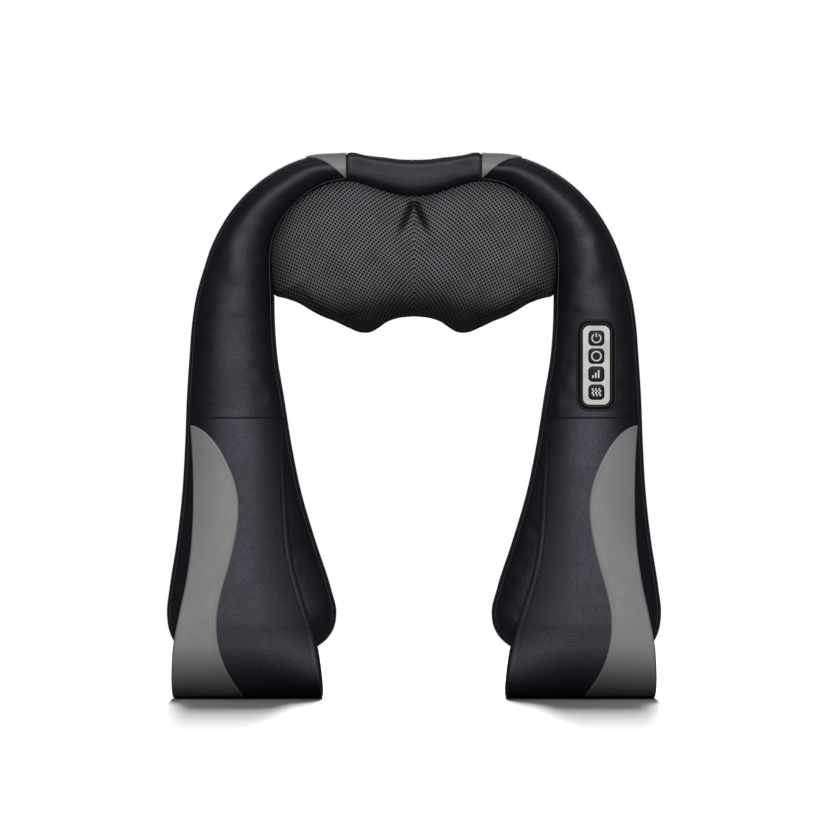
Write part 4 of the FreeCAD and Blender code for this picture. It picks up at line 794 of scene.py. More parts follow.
# %% [markdown]
# ## Hand straps
# A strap starts in a seam across the arm's front, hangs down in front of the pad, turns under on
# the floor and goes up the back. At the seam it hugs the arm's rounded face, and lower down it
# stands clear and flattens. Its inner edge has a turned hem beside a pressed stitch line. A grey
# panel with a flowing edge is sewn onto its outer half, a little thicker, so its edge catches the
# light.

# %% Strap edges
# x at heights z, in millimetres: the strap's inner edge, outer edge and the grey panel's edge
STRAP_INNER = [(109.6, 238), (108.4, 203), (106.8, 171), (103.7, 131), (99.7, 107), (93.2, 85),
               (86.7, 64), (81.0, 39), (76.8, 8), (76.3, 0)]
STRAP_OUTER = [(190.3, 238), (187.6, 197), (187.8, 143), (189.3, 123), (193, 98), (198.4, 72),
               (203.2, 47), (205, 26), (205.2, 10), (204.4, 0)]
PANEL_EDGE = [(190.0, 232.6), (178.8, 226.5), (168, 214.6), (160.2, 201), (153.6, 185),
              (150.1, 168), (150.0, 153), (152.6, 135), (158.4, 110), (164.6, 88), (167.9, 68),
              (166.9, 48), (161.5, 29), (153.9, 15), (146.5, 5), (144, 1.7)]
STRAP_HALF = 1.55
# the turn under the pad: its depth from front to rear, and the height where it starts
CORNER, CORNER_TALL = 24.0, 44.0
# the strap's middle surface keeps this far inside its edges, and is built in steps this long
STRAP_INSET, RUN_GAP = 2.4, 2.4
# at the seam the strap's edges fall back this far, and it eases from the arm's face over this
EDGE_DROOP, HUG_EASE = 15.0, 2.5


def x_at(edge, z):
    """The edge's x at given heights."""
    curve = spline_rows(edge, 12)
    order = np.argsort(curve[:, 1])
    return np.interp(z, curve[order, 1], curve[order, 0])


def strap_run():
    """Side view of the strap's middle from its front seam to its rear seam: y, z rows."""
    knee, reach = 62.0, STRAP_REACH - STRAP_HALF
    z = np.linspace(SEAM_Z, CORNER_TALL, 80)
    rise = np.clip((z - knee) / (SEAM_Z - knee), 0, 1)
    side = np.stack([-(reach - 16.5 * rise ** 1.15), z], axis=1)
    turn = np.linspace(0, np.pi / 2, 24)[1:]
    radius, tall = CORNER - STRAP_HALF, CORNER_TALL - STRAP_HALF - 0.9
    corner = np.stack([-(reach - radius) - radius * np.cos(turn),
                       CORNER_TALL - tall * np.sin(turn)], axis=1)
    front = np.vstack([side, corner])
    return resample(np.vstack([front, front[::-1] * [-1, 1]]), RUN_GAP)


def arm_depth_at(x, z):
    """The arm's half thickness under points of its level part."""
    inner = np.interp(-z, -arm_rungs[:, 1], arm_rungs[:, 0])
    outer = np.interp(-z, -arm_rungs[:, 1], arm_rungs[:, 2])
    width = outer - inner
    lean = leaning((x - inner) / width)
    near = width * np.minimum(lean, 1 - lean)
    depth = (ARM_DEPTH - COVER_SKIN) * rounding(near / np.minimum(EDGE_ROUND, width / 2))
    return depth * rounding((z - END_Z) / END_ROUND)


def strap_surface(run, low_x, high_x, columns):
    """The strap's middle surface between two edges, one row for each step of the run."""
    grid = np.zeros((len(run), len(columns), 3))
    for i, (y, z) in enumerate(run):
        x = low_x[i] + (high_x[i] - low_x[i]) * columns
        inner, outer = x_at(STRAP_INNER, z), x_at(STRAP_OUTER, z)
        off = (x - (inner + outer) / 2) / ((outer - inner) / 2)
        free = np.clip((SEAM_Z - z) / 130.0, 0, 1) ** 0.8
        droop = np.where(off < 0, (EDGE_DROOP - 2.0 * free) * np.abs(off) ** (2.5 - 0.5 * free),
                         (EDGE_DROOP - 11.0 * free) * np.abs(off) ** 2.5)
        hug = arm_depth_at(x, z) + STRAP_HALF - 2.2 + 4.2 * np.clip((SEAM_Z - z) / 40.0, 0, 1)
        stand = np.abs(y) - droop * np.clip(z / CORNER_TALL - 0.3, 0, 1)
        if z > CORNER_TALL / 2:
            stand = np.logaddexp(hug / HUG_EASE, stand / HUG_EASE) * HUG_EASE
        grid[i] = np.stack([x, np.sign(y) * stand, np.full_like(x, z)], axis=1)
    return grid


strap_path = strap_run()
print("strap run:", len(strap_path), "steps;", round(len(strap_path) * RUN_GAP), "mm long")


# %% Strap pieces
def spread(count):
    """Shares from 0 to 1, closer together at both ends."""
    return (1 - np.cos(np.pi * np.linspace(0, 1, count))) / 2


def hem_profile(distance):
    """Half thickness across a strap: a fuller turned hem with a stitch line in a dip."""
    hem = 0.10 * np.exp(-((distance - 1.8) / 1.6) ** 2)
    line = 0.38 * np.exp(-((distance - 3.6) / 0.55) ** 2)
    return STRAP_HALF + hem - line


def panel_edge_x(run):
    """The grey panel's inner edge along the run; under the floor it swings inward and back."""
    y, z = run[:, 0], run[:, 1]
    edge = x_at(PANEL_EDGE, z)
    under = np.abs(y) < STRAP_REACH - CORNER
    return np.where(under, 131.0 + 13.0 * (y / (STRAP_REACH - CORNER)) ** 2, edge)


for name, side in SIDES.items():
    inner = x_at(STRAP_INNER, strap_path[:, 1]) + STRAP_INSET
    outer = x_at(STRAP_OUTER, strap_path[:, 1]) - STRAP_INSET
    edge = panel_edge_x(strap_path)
    edge[1:-1] = (edge[:-2] + 2 * edge[1:-1] + edge[2:]) / 4
    tucked = np.minimum(edge + 5.0, outer - 1.2)
    grid = strap_surface(strap_path, inner, tucked, spread(44))
    distance = np.linalg.norm(grid - grid[:, :1], axis=2)
    rows, faces = thick_sheet(grid, hem_profile(distance))
    strap = mesh_object(f"{name}_strap_leather", rows, faces, side)
    strap.data.materials.append(black_leather)
    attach(strap, f"{name}_arm")
    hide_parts(f"{name}_strap")

    shown = strap_path[:, 1] < PANEL_EDGE[0][1] - 0.5
    run = strap_path[shown]
    grid = strap_surface(run, edge[shown], outer[shown] + 0.1, spread(34))
    distance = np.linalg.norm(grid - grid[:, :1], axis=2)
    lip = STRAP_HALF + 0.55 + 0.22 * np.exp(-((distance - 0.8) / 0.9) ** 2)
    rows, faces = thick_sheet(grid, lip)
    panel = mesh_object(f"{name}_strap_panel", rows, faces, side)
    panel.data.materials.append(grey_leather)
    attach(panel, f"{name}_arm")
    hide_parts(f"{name}_strap_inlay")
    for piece in (strap, panel):
        floor_shade.objects.link(piece)
    print(strap.name, len(strap.data.vertices), "points;", panel.name, len(panel.data.vertices))

# %% [markdown]
# ## Mesh cover over the heads
# The kneading heads work through a stretched air mesh, which is sewn to the horseshoe above and
# hangs free below, in a scalloped edge. The cover is a flat pillow: a closed outline, rounded
# over at the rim, deepest over the heads. Rings of points run from a spine between the two heads
# out to the outline. The mesh is gathered in the middle of its top edge, where two folds open
# downward.

# %% Outline of the cover
# x, z from the middle of the top edge round to the middle of the bottom edge
COVER_TOP = [(0, 427.5), (10, 428), (24.4, 431.5), (40.6, 437), (54, 440), (71, 438), (88, 430),
             (104.6, 416.5), (115, 402), (121, 385), (122.5, 368), (121, 352), (119.2, 345)]
COVER_BOTTOM = [(117.4, 341.8), (107.4, 339.5), (96, 335), (87.8, 330), (78, 324.8), (67, 320.5),
                (55, 314.8), (46, 311.2), (37.4, 311.2), (31, 314.6), (23.6, 319.8), (13, 323.4),
                (0, 324.7)]
COVER_FRONT = -(COVER_REACH + 5.0)
FULL_ABOVE, FULL_BELOW = 3.0, 2.2
# points round the outline and rings from the spine to it, in front and behind
MESH_RING, MESH_ROWS = 820, 84
BACK_RING, BACK_ROWS = 300, 40


def cover_outline(count):
    """The closed outline with evenly spaced points, x and z."""
    half = np.vstack([spline_rows(COVER_TOP, 10), spline_rows(COVER_BOTTOM, 10)])
    whole = np.vstack([half, (half * [-1, 1])[::-1][1:]])
    length = running_length(whole)
    wanted = np.linspace(0, length[-1], count + 1)[:-1]
    return np.stack([np.interp(wanted, length, whole[:, k]) for k in (0, 1)], axis=1)


def rim_profile(depth, steps, fullness):
    """Shares (out, deep) from the middle of a face to its rim, evenly spaced along the curve."""
    angle = np.linspace(0, np.pi / 2, 400)
    out, deep = np.sin(angle) ** (2 / fullness), np.cos(angle) ** (2 / fullness)
    length = np.concatenate([[0], np.cumsum(np.hypot(np.diff(out) * 62, np.diff(deep) * depth))])
    wanted = np.linspace(0, length[-1], steps + 1)
    return np.interp(wanted, length, out), np.interp(wanted, length, deep)


def cover_face(outline, seam_y, face_y, steps):
    """Rings from the spine (first row) to the outline (last row) of one face.

    The face is full above and slopes away below, where the mesh hangs free.
    """
    spine = np.stack([np.clip(outline[:, 0], -HEAD_X, HEAD_X) * 0.96,
                      np.full(len(outline), HEAD_Z)], axis=1)
    depth = abs(face_y - seam_y)
    above = np.array(rim_profile(depth, steps, FULL_ABOVE))[:, :, None]
    below = np.array(rim_profile(depth, steps, FULL_BELOW))[:, :, None]
    low = np.clip((HEAD_Z + 6 - outline[:, 1]) / 52, 0, 1)[None, :]
    low = low * low * (3 - 2 * low)
    out, deep = above + (below - above) * low
    rings = spine[None] + (outline - spine)[None] * out[..., None]
    y = seam_y + (face_y - seam_y) * deep
    return np.stack([rings[..., 0], y, rings[..., 1]], axis=-1)


# %% [markdown]
# The heads turn behind the mesh, so the mesh must clear everything that their nodes sweep. The
# sweep is found from the CAD nodes: at each distance from a head's axis, how far forward the node
# caps reach. Where the cover would come closer than that, it is pushed forward, as real mesh is
# stretched over the nodes.

# %% Room for the turning heads
SWEEP = 64


def swept_reach():
    """Least depth y (mm) that the right head's caps reach, at each whole mm from its axis."""
    reach = np.full(SWEEP, COVER_SEAM)
    for node in ("right_large_nodes", "right_small_nodes"):
        mesh = frame["nodes"][node].data
        points = np.empty(len(mesh.vertices) * 3)
        mesh.vertices.foreach_get("co", points)
        x, y, z = points.reshape(-1, 3).T / MM
        away = np.hypot(x - HEAD_X, z - HEAD_Z).astype(int)
        for shift in (-1, 0, 1):
            np.minimum.at(reach, np.clip(away + shift, 0, SWEEP - 1), y)
    inside = int(np.argmax(reach < COVER_SEAM - 1))
    reach[:inside] = reach[inside]
    return reach


HEAD_REACH = swept_reach()
MESH_GAP, MESH_EASE = 1.2, 2.0


def cleared(points):
    """The cover's points, moved forward where the heads need the room."""
    x, y, z = points[..., 0], points[..., 1], points[..., 2]
    away = np.hypot(np.abs(x) - HEAD_X, z - HEAD_Z)
    need = np.interp(away, np.arange(SWEEP) + 0.5, HEAD_REACH) - MESH_GAP
    points[..., 1] = -np.logaddexp(-y / MESH_EASE, -need / MESH_EASE) * MESH_EASE
    return points


print("node caps reach forward to y", round(HEAD_REACH.min(), 1), "mm")


# %% Folds of the cover
FOLD_TOP, FOLD_LEAN = 422.0, math.radians(23)
# depth (minus stands out), start and end in front view, width at the start, growth to the end
PULLS = [(1.6, (3.0, 426.0), (30.0, 398.0), 1.4, 3.5),
         (-1.8, (43.0, 310.0), (62.0, 352.0), 3.0, 9.0),
         (-1.2, (86.0, 328.0), (92.0, 362.0), 3.0, 8.0),
         (1.6, (26.0, 318.0), (34.0, 350.0), 3.0, 7.0)]


def segment_distance(x, z, start, finish):
    """Distance from a segment in front view, and the share along it."""
    sx, sz = finish[0] - start[0], finish[1] - start[1]
    t = np.clip(((x - start[0]) * sx + (z - start[1]) * sz) / (sx * sx + sz * sz), 0, 1)
    return np.hypot(x - start[0] - t * sx, z - start[1] - t * sz), t


def cover_folds(points):
    """How far the mesh sinks: the gather's two folds, the valley between the heads, the pulls."""
    x, z = points[..., 0], points[..., 2]
    sink = 6.0 * np.exp(-(x / 19.0) ** 2) * np.clip((440 - z) / 40, 0.35, 1)
    for fold_side in (-1, 1):
        d, t = segment_distance(x, z, (fold_side * 0.8, FOLD_TOP), (fold_side * 11.5, 395.0))
        sink += 14.0 * (1 - 0.8 * t) * np.clip(0.2 + t * 5, 0, 1) * np.exp(-(d / 2.8) ** 2)
        for depth, (x0, z0), (x1, z1), wide, growth in PULLS:
            d, t = segment_distance(x, z, (fold_side * x0, z0), (fold_side * x1, z1))
            sink += depth * (1 - t) * np.exp(-(d / (wide + growth * t)) ** 2)
    inside = (points[..., 1] - COVER_SEAM) / (COVER_FRONT - COVER_SEAM)
    return sink * np.clip(inside * 2.2, 0, 1)


# %% [markdown]
# ## The weave of the mesh
# The air mesh has rows of small round holes on a slant, mirrored about the middle. The same
# formula places the holes in the geometry, as shallow dimples, and in the material, as dark dots,
# so both agree. Lattice coordinates run along and across the slanted rows, and every second row is
# shifted by half a step.

# %% Weave lattice
HOLE_PITCH, ROW_PITCH, SLANT = 2.3, 3.0, math.radians(38)
ROW_CURL = 0.0042


def hole_mask(x, z):
    """1 in the middle of a hole and 0 on the threads, in millimetres of front view."""
    x, z = np.abs(x), z - HEAD_Z
    along = x * math.cos(SLANT) - z * math.sin(SLANT)
    across = x * math.sin(SLANT) + z * math.cos(SLANT)
    across = across + ROW_CURL * along ** 2
    row = across / ROW_PITCH
    shift = 0.5 * (np.floor(row) % 2)
    dx = ((along / HOLE_PITCH + shift) % 1.0 - 0.5) * HOLE_PITCH
    dz = (row % 1.0 - 0.5) * ROW_PITCH
    return np.clip(1.6 - np.hypot(dx, dz * 0.75) / 0.72, 0, 1)


# %% Mesh fabric material
def mesh_fabric():
    """Dark polyester air mesh: holes by the lattice, lighter threads between them.

    The threads are painted darker towards the lower edge and the outer sides, and along the
    gather's
    two folds: painted shade.
    """
    material, tree, shader = new_material("air_mesh", Specular_IOR_Level=0.25)
    calc = partial(math_node, tree)
    split = tree.nodes.new("ShaderNodeSeparateXYZ")
    tree.links.new(object_point(tree), split.inputs[0])
    x = calc("ABSOLUTE", calc("MULTIPLY", split.outputs["X"], 1000.0))
    z = calc("MULTIPLY_ADD", split.outputs["Z"], 1000.0, -HEAD_Z)
    along = calc("SUBTRACT", calc("MULTIPLY", x, math.cos(SLANT)),
                 calc("MULTIPLY", z, math.sin(SLANT)))
    across = calc("ADD", calc("MULTIPLY", x, math.sin(SLANT)),
                  calc("MULTIPLY", z, math.cos(SLANT)))
    curl = calc("MULTIPLY", calc("MULTIPLY", along, along), ROW_CURL)
    row = calc("DIVIDE", calc("ADD", across, curl), ROW_PITCH)
    odd = calc("FLOORED_MODULO", calc("FLOOR", row), 2.0)
    column = calc("MULTIPLY_ADD", odd, 0.5, calc("DIVIDE", along, HOLE_PITCH))
    dx = calc("SUBTRACT", calc("FLOORED_MODULO", column, 1.0), 0.5)
    dx = calc("MULTIPLY", dx, HOLE_PITCH)
    dz = calc("SUBTRACT", calc("FLOORED_MODULO", row, 1.0), 0.5)
    dz = calc("MULTIPLY", dz, ROW_PITCH * 0.75)
    reach = calc("SQRT", calc("ADD", calc("MULTIPLY", dx, dx), calc("MULTIPLY", dz, dz)))
    thread = remap(tree, reach, 0.5, 1.3)
    yarn = noise_at(tree, object_point(tree), 1500.0, 2.0)
    slow = noise_at(tree, object_point(tree), 55.0, 2.0)
    # painted shade: the threads are darkened towards the lower edge (free) and the outer sides
    lower_edge_height = calc("MULTIPLY_ADD", calc("MULTIPLY", x, x), 0.0009, z)
    free = remap(tree, lower_edge_height, -50.0, -16.0, 0.22, 1.0)
    painted_shade_sides = remap(tree, x, 92.0, 122.0, 1.0, 0.62)
    uneven = calc("MULTIPLY_ADD", yarn, 0.9, calc("MULTIPLY", slow, 0.6))
    shade = calc("MULTIPLY", thread, uneven, clamp=True)
    shade = calc("MULTIPLY", shade, calc("MULTIPLY", free, painted_shade_sides))
    # painted shade: the threads are darkened along the gather's two folds
    below = calc("SUBTRACT", FOLD_TOP - HEAD_Z, z)
    down = calc("ADD", calc("MULTIPLY", below, math.cos(FOLD_LEAN)),
                calc("MULTIPLY", x, math.sin(FOLD_LEAN)))
    off = calc("ABSOLUTE", calc("SUBTRACT", calc("MULTIPLY", x, math.cos(FOLD_LEAN)),
                                calc("MULTIPLY", below, math.sin(FOLD_LEAN))))
    ends = calc("MULTIPLY", remap(tree, down, -1.0, 3.0), remap(tree, down, 22.0, 36.0, 1.0, 0.0))
    painted_fold_shade = calc("MULTIPLY", remap(tree, off, 0.8, 3.6, 1.0, 0.0), ends)
    shade = calc("MULTIPLY", shade, calc("MULTIPLY_ADD", painted_fold_shade, -0.9, 1.0))
    colour = mixed(tree, shade, (0.004, 0.004, 0.0045, 1), (0.270, 0.256, 0.278, 1))
    tree.links.new(colour, shader.inputs["Base Color"])
    rough = remap(tree, thread, 0.0, 1.0, 0.9, 0.62)
    tree.links.new(rough, shader.inputs["Roughness"])
    lift = calc("MULTIPLY_ADD", yarn, 0.3, thread)
    bump(tree, lift, shader, 0.0004, 0.7)
    return material


air_mesh = mesh_fabric()
print("material", air_mesh.name)

# %% [markdown]
# The back of the crown is a leather pillow. It reaches higher in the middle than the mesh does,
# up behind the top pad, because the motor stands there.

# %% Cover pieces
MOTOR_RISE = 20.0
DIMPLE = 0.3
front = cover_face(cover_outline(MESH_RING), COVER_SEAM, COVER_FRONT, MESH_ROWS)
front[..., 1] += cover_folds(front)
front = cleared(front)
facing = np.clip(np.abs(grid_normals(front)[..., 1]), 0, 1)
front[..., 1] += DIMPLE * hole_mask(front[..., 0], front[..., 2]) * facing
cover = mesh_object("kneading_mesh", front[::-1], tube_faces(*front.shape[:2], capped=False))
cover.data.materials.append(air_mesh)
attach(cover, "core")
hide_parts("mesh_cover")
rear_rim = cover_outline(BACK_RING)
rear_rim[:, 1] += MOTOR_RISE * np.exp(-(rear_rim[:, 0] / 24) ** 2) * (rear_rim[:, 1] > 400)
rear = cover_face(rear_rim, COVER_SEAM, COVER_REACH, BACK_ROWS)
rear_skin = mesh_object("crown_back", rear, tube_faces(*rear.shape[:2], capped=False))
rear_skin.data.materials.append(black_leather)
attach(rear_skin, "core")
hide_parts("rear_cover", "crown_foam")
rim = cover_outline(BACK_RING)
rim_path = np.stack([rim[:, 0], np.full(len(rim), COVER_SEAM), rim[:, 1]], axis=1)
rim_path = np.vstack([rim_path, rim_path[:1]])
rim_piping = mesh_object("crown_piping", *swept_tube(rim_path, 1.0))
rim_piping.data.materials.append(black_leather)
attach(rim_piping, "core")
for piece in (cover, rear_skin):
    print(piece.name, len(piece.data.vertices), "points")

# %% [markdown]
# ## Top pad and grey corners
# A black pad closes the horseshoe over the crown. Its top edge dips in the middle, its face leans
# a little downward, and a seam parts it from each arm. Beside it, a grey corner of leather is sewn
# onto each arm, with a slanting lower edge.

# %% Top pad
# x, low z, top z across the pad
PAD_ROWS = [(-57.8, 437.2, 461.9), (-53, 437, 462.4), (-40.6, 433.8, 460.2), (-24.4, 428.4, 458.2),
            (-8.2, 425, 456.9), (8.2, 425, 456.9), (24.4, 428.4, 458.2), (40.6, 433.8, 460.2),
            (53, 437, 462.4), (57.8, 437.2, 461.9)]
PAD_SIDE = PAD_ROWS[-1][0]
PAD_FULLNESS, PAD_RING = 5.0, 96
PAD_SEAM_DIP, PAD_SEAM_WIDTH = 0.9, 1.6
ring_angles = 2 * np.pi * np.arange(PAD_RING) / PAD_RING
cos_a, sin_a = np.cos(ring_angles), np.sin(ring_angles)
rings = []
for x, low, top in spline_rows(PAD_ROWS, 8):
    seam = PAD_SEAM_DIP * math.exp(-((PAD_SIDE - abs(x)) / PAD_SEAM_WIDTH) ** 2)
    tall, deep = (top - low) / 2 - seam, ARM_DEPTH - 0.2 - seam
    y = deep * np.sign(cos_a) * np.abs(cos_a) ** (2 / PAD_FULLNESS)
    y = np.where(y < 0, y * (0.90 + 0.10 * sin_a), y)
    z = (top + low) / 2 + tall * np.sign(sin_a) * np.abs(sin_a) ** (2 / PAD_FULLNESS)
    rings.append(np.stack([np.full(PAD_RING, x), y, z], axis=1))
rings = np.array(rings)
top_pad = mesh_object("top_pad", rings, tube_faces(*rings.shape[:2]))
top_pad.data.materials.append(black_leather)
moved = settle(top_pad, lambda point: PAD_SIDE - abs(point[0]) < 4 or abs(point[1]) < 3, cap=0.3)
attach(top_pad, "core")
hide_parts("top_cover", "top_foam")
print(top_pad.name, len(top_pad.data.vertices), "points; mean move before the cap", round(moved, 2))

# %% Grey corners
# x, z of the grey corner's lower edge in front view
CORNER_EDGE = [(55.5, 438.6), (60, 442.8), (65.5, 447.6), (73, 452.8), (83, 457.2), (93, 458.2)]
PATCH_STEPS, PATCH_LIFT, PATCH_HALF = 26, 0.55, 0.5


def corner_patch():
    """A grid over the arm's top, from its lower edge in front to its lower edge at the rear."""
    curve = spline_rows(CORNER_EDGE, 12)
    rungs = spline_rows(RUNGS[:3], 30)
    rows = []
    for rung in rungs:
        shares = np.linspace(0, 1, 200)
        x = rung[0] + (rung[2] - rung[0]) * shares
        z = rung[1] + (rung[3] - rung[1]) * shares
        above = z > np.interp(x, curve[:, 0], curve[:, 1])
        if x[-1] > CORNER_EDGE[-1][0] or not above.any():
            break
        low = shares[np.argmax(above)]
        if low > 0.985:
            break
        part = low + (1 - low) * np.sin(np.pi / 2 * np.linspace(0, 1, PATCH_STEPS))
        one = rung[None, :]
        front_half = arm_surface(one, part, -1)[0]
        rear_half = arm_surface(one, part, 1)[0]
        rows.append(np.vstack([front_half, rear_half[-2::-1]]))
    grid = np.array(rows)
    return grid + PATCH_LIFT * grid_normals(grid) * np.sign(-grid_normals(grid)[0, 0, 1])


for name, side in SIDES.items():
    rows, faces = thick_sheet(corner_patch(), PATCH_HALF)
    patch = mesh_object(f"{name}_grey_corner", rows, faces, side)
    patch.data.materials.append(grey_leather)
    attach(patch, "core")
    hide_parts(f"{name}_top_patch")
    print(patch.name, len(patch.data.vertices), "points")

# %% [markdown]
# ## Key panel
# The panel on the right arm is a silver plate in a soft black frame, with four rubber-feel keys.
# Frame and keys are lofts of rounded rectangles, so their edges are rolled and catch the light, as
# moulded parts do. The symbols are thin raised prints: power, direction ring, speed bars and
# warmth waves. Each print rides on its key, so it moves when the key is pressed.


# %% Rounded loops
CORNER_STEPS = 9


def rounded_loop(half_x, half_z, radius):
    """Points and outward directions round a rectangle with round corners, in front view."""
    points, outward = [], []
    for k, (sx, sz) in enumerate(((1, 1), (-1, 1), (-1, -1), (1, -1))):
        middle = np.array([sx * (half_x - radius), sz * (half_z - radius)])
        for turn in np.linspace(0, np.pi / 2, CORNER_STEPS) + k * np.pi / 2:
            way = np.array([math.cos(turn), math.sin(turn)])
            points.append(middle + radius * way)
            outward.append(way)
    return np.array(points), np.array(outward)


def loop_sweep(loop, outward, centre, section):
    """A closed moulding: a section of (out, y) points carried once round a loop."""
    rows = []
    for point, way in zip(loop, outward):
        rows.append([(centre[0] + point[0] + way[0] * out, y, centre[1] + point[1] + way[1] * out)
                     for out, y in section])
    rows.append(rows[0])
    return np.array(rows), tube_faces(len(rows), len(section), capped=False)


plate_low, plate_high = (np.array(corner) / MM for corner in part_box("panel_plate"))
PANEL_MID = ((plate_low[0] + plate_high[0]) / 2, (plate_low[2] + plate_high[2]) / 2)
PLATE_HALF = ((plate_high[0] - plate_low[0]) / 2, (plate_high[2] - plate_low[2]) / 2)
PLATE_CORNER = 5.4
loop, outward = rounded_loop(*PLATE_HALF, PLATE_CORNER)
lip_y = plate_low[1] - 0.6
FRAME_SECTION = [(0.02, -23), (0.02, lip_y + 0.9), (0.3, lip_y + 0.3), (1.0, lip_y - 0.1),
                 (2.3, lip_y - 0.1), (3.2, lip_y + 0.4), (3.6, lip_y + 1.3), (3.7, -23)]
panel_rim = mesh_object("panel_rim", *loop_sweep(loop, outward, PANEL_MID, FRAME_SECTION))
bead = [(4.7 + 0.9 * math.cos(a), -28.7 + 0.9 * math.sin(a))
        for a in np.linspace(0, 2 * np.pi, 9)[:-1]]
panel_bead = mesh_object("panel_bead", *loop_sweep(loop, outward, PANEL_MID, bead))
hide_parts("panel_frame")
print("panel centre", PANEL_MID, "plate half size", PLATE_HALF)


# %% Keys and their prints
KEY_HALF, KEY_ROUND = (6.6, 6.3), 3.4
PRINT_LIFT, PRINT_HALF = 0.04, 0.09


def key_cap(name):
    """A key with rolled edges; returns its piece, its centre and the depth of its front."""
    low, high = (np.array(corner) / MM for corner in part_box(name))
    centre = (low[0] + high[0]) / 2, (low[2] + high[2]) / 2
    front = low[1]
    rows = []
    for shrink, y in ((0, high[1]), (0, front + 0.7), (0.1, front + 0.35), (0.35, front + 0.12),
                      (0.8, front + 0.02), (1.6, front), (3.0, front)):
        loop, _ = rounded_loop(KEY_HALF[0] - shrink, KEY_HALF[1] - shrink,
                               max(KEY_ROUND - shrink, 0.4))
        rows.append([(centre[0] + x, y, centre[1] + z) for x, z in loop])
    rows = np.array(rows)
    piece = mesh_object(f"{name}_cap", rows, tube_faces(*rows.shape[:2]))
    return piece, centre, front


def ribbon(path, width, closed=False):
    """A thin raised line of print along a path of (x, z) points."""
    path = np.asarray(path, float)
    if closed:
        path = np.vstack([path, path[:1]])
    way = frames_along(np.hstack([path, np.zeros((len(path), 1))]))[:, :2]
    if closed:
        way[0] = way[-1] = (way[0] + way[-1]) / 2
    aside = np.stack([-way[:, 1], way[:, 0]], axis=1) * width / 2
    rows = [[(*p - a, -PRINT_HALF), (*p + a, -PRINT_HALF), (*p + a, PRINT_HALF),
             (*p - a, PRINT_HALF)] for p, a in zip(path, aside)]
    rows = np.array(rows)[..., [0, 2, 1]]
    return rows.reshape(-1, 3), tube_faces(len(path), 4, capped=not closed)


def arc(radius, first, last):
    """Points of an arc between two angles in degrees."""
    angles = np.radians(np.linspace(first, last, 40))
    return np.stack([radius * np.cos(angles), radius * np.sin(angles)], axis=1)


def wave(x):
    """Points of an upright wave."""
    z = np.linspace(-3.3, 3.3, 24)
    return np.stack([x + 0.75 * np.sin(z * 1.9), z], axis=1)


PRINTS = {
    "power_key": [(arc(3.7, 122, 418), 1.0, False), ([(0, 0.9), (0, 2.6), (0, 4.4)], 1.0, False)],
    "direction_key": [(arc(3.9, 0, 351), 1.05, True)],
    "speed_key": [([(x, -3.2), (x, -3.2 + tall)], 1.35, False)
                  for x, tall in ((-2.9, 2.2), (-0.6, 4.4), (1.9, 6.6))],
    "heat_key": [(wave(x), 0.95, False) for x in (-2.8, 0.0, 2.8)],
}
key_pieces, print_pieces = [], []
for name, strokes in PRINTS.items():
    cap, centre, front = key_cap(name)
    points, faces = join_parts([ribbon(*stroke) for stroke in strokes])
    points = np.array(points) + [centre[0], front - PRINT_LIFT, centre[1]]
    symbol = mesh_object(f"{name}_symbol", points, faces, smooth=False)
    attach(cap, name)
    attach(symbol, name)
    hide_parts(name)
    key_pieces.append(cap)
    print_pieces.append(symbol)
for piece, slot in ((panel_rim, "soft_rubber"), (panel_bead, "leather_black")):
    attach(piece, "right_arm")
print("keys:", [p.name for p in key_pieces])

# %% [markdown]
# ## Leads inside the padding
# Three thin leads run through the foam: down from the shoulder to the keys, across into the crown,
# and in from the power inlet. Each is a round sleeve. The lead from the shoulder bends softly at
# its corner and leans back on its way into the crown, so that the arm's rounded edge covers it.

# %% Lead sleeves
LEAD_TUCK, LEAD_BEND = 11.0, 9.0


def lead_path(name):
    """The middle line of a lead, found from the box of its CAD node."""
    low, high = (np.array(corner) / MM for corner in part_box(name))
    radius = min(high - low) / 2
    middle = (low + high) / 2
    if name == "shoulder_lead":
        x, top = high[0] - radius, high[2] - radius
        bend_x, bend_z = x - LEAD_BEND, top - LEAD_BEND
        line = [(x, middle[1], low[2]), (x, middle[1], bend_z)]
        line += [(bend_x + LEAD_BEND * math.cos(a), middle[1], bend_z + LEAD_BEND * math.sin(a))
                 for a in np.linspace(0.2, np.pi / 2, 8)]
        line += [(low[0] + 24, middle[1] + LEAD_TUCK * 0.6, top),
                 (low[0] + 14, middle[1] + LEAD_TUCK, top), (low[0], middle[1] + LEAD_TUCK, top)]
        return np.array(line), radius
    along = int(np.argmax(high - low))
    ends = [middle.copy(), middle.copy()]
    ends[0][along], ends[1][along] = low[along], high[along]
    return np.array(ends), radius


lead_pieces = []
for name in ("shoulder_lead", "control_lead", "power_lead"):
    path, radius = lead_path(name)
    sleeve = mesh_object(f"{name}_sleeve", *swept_tube(resample(path, 1.0), radius, 12))
    owner = next(body for body, empty in frame["bodies"].items()
                 if frame["nodes"][name].parent == empty)
    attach(sleeve, owner)
    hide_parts(name)
    lead_pieces.append(sleeve)
    print(sleeve.name, "rides on", owner)

# %% [markdown]
# ## Finishes of the hard parts
# Moulded plastic, metal and board parts share one recipe: two close tones that drift, a fine
# surface texture, smears that change the gloss, and dust on faces that look up. Each record slot
# gets its own material with its own numbers, and every CAD node that still shows takes the one
# that its slot names.


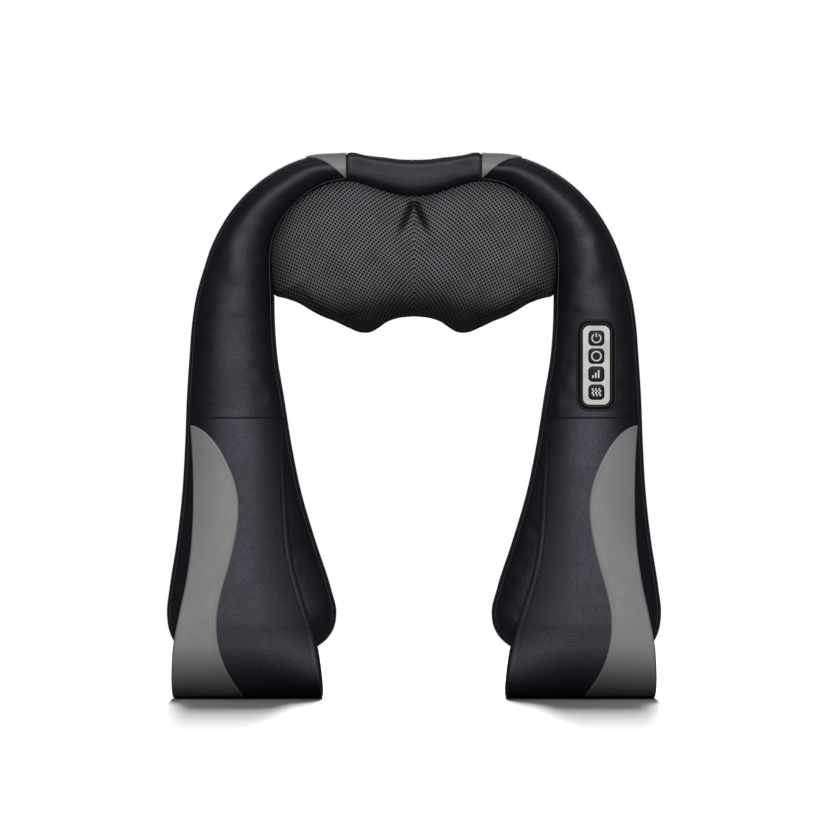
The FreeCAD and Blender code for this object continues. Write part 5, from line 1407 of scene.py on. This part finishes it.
# %% Hard finishes
def hard_finish(name, dark, light, rough, metallic=0.0, texture=2600.0, depth=0.00003, stretch=1.0,
                shine=0.5):
    """Plastic or metal: two tones, a fine texture that may be brushed, smears and dust."""
    material, tree, shader = new_material(name, Metallic=metallic, Specular_IOR_Level=shine)
    marks = place_group(tree, marks_group)
    mapping = tree.nodes.new("ShaderNodeMapping")
    mapping.inputs["Scale"].default_value = (1.0, 1.0, stretch)
    tree.links.new(object_point(tree), mapping.inputs["Vector"])
    grain = noise_at(tree, mapping.outputs["Vector"], texture, 2.0)
    tone = math_node(tree, "MULTIPLY_ADD", grain, 0.6, math_node(
        tree, "MULTIPLY", marks.outputs["Smear"], 0.4))
    clean = mixed(tree, tone, (*dark, 1), (*light, 1))
    dust = math_node(tree, "MULTIPLY", marks.outputs["Dust"], 0.18)
    tree.links.new(mixed(tree, dust, clean, (0.16, 0.155, 0.15, 1)), shader.inputs["Base Color"])
    gloss = remap(tree, marks.outputs["Smear"], 0.0, 1.0, rough - 0.05, rough + 0.07)
    tree.links.new(gloss, shader.inputs["Roughness"])
    bump(tree, grain, shader, depth, 0.5)
    return material


HARD = {
    "foam": ((0.52, 0.50, 0.42), (0.66, 0.63, 0.54), 0.9, 0.0, 1400.0, 0.0003),
    "housing_plastic": ((0.020, 0.020, 0.022), (0.032, 0.032, 0.035), 0.45),
    "nylon": ((0.62, 0.60, 0.52), (0.72, 0.70, 0.62), 0.5),
    "node_plastic": ((0.28, 0.07, 0.05), (0.36, 0.10, 0.07), 0.35),
    "steel": ((0.50, 0.50, 0.52), (0.62, 0.62, 0.64), 0.32, 1.0),
    "magnet": ((0.10, 0.10, 0.11), (0.16, 0.16, 0.17), 0.5, 0.6),
    "bronze": ((0.50, 0.32, 0.16), (0.62, 0.42, 0.22), 0.4, 1.0),
    "circuit_board": ((0.015, 0.11, 0.05), (0.03, 0.18, 0.08), 0.4),
    "lamp_lens": ((0.55, 0.06, 0.04), (0.65, 0.10, 0.07), 0.2),
    "soft_rubber": ((0.004, 0.004, 0.005), (0.008, 0.008, 0.009), 0.5, 0.0, 2600.0, 0.00003, 1.0,
                    0.2),
    "key_plastic": ((0.003, 0.003, 0.004), (0.006, 0.006, 0.007), 0.34, 0.0, 2600.0, 0.00003, 1.0,
                    0.12),
    "lead_sleeve": ((0.012, 0.012, 0.013), (0.02, 0.02, 0.021), 0.5),
}
finishes = {slot: hard_finish(slot, *numbers) for slot, numbers in HARD.items()}
finishes["panel_metal"] = hard_finish("panel_metal", (0.40, 0.38, 0.365), (0.52, 0.50, 0.48), 0.42,
                                      0.35, 1500.0, 0.00004, 0.06)
symbol_print = hard_finish("symbol_print", (0.80, 0.78, 0.76), (0.90, 0.88, 0.86), 0.5)
finishes["leather_black"] = black_leather
finishes["leather_grey"] = grey_leather
finishes["mesh_fabric"] = air_mesh
for part in frame["record"]["subparts"]:
    node = frame["nodes"][part["node"]]
    node.data.materials.clear()
    node.data.materials.append(finishes[part["material_slot"]])
panel_rim.data.materials.append(finishes["soft_rubber"])
panel_bead.data.materials.append(black_leather)
for piece in key_pieces:
    piece.data.materials.append(finishes["key_plastic"])
for piece in print_pieces:
    piece.data.materials.append(symbol_print)
for piece in lead_pieces:
    piece.data.materials.append(finishes["lead_sleeve"])
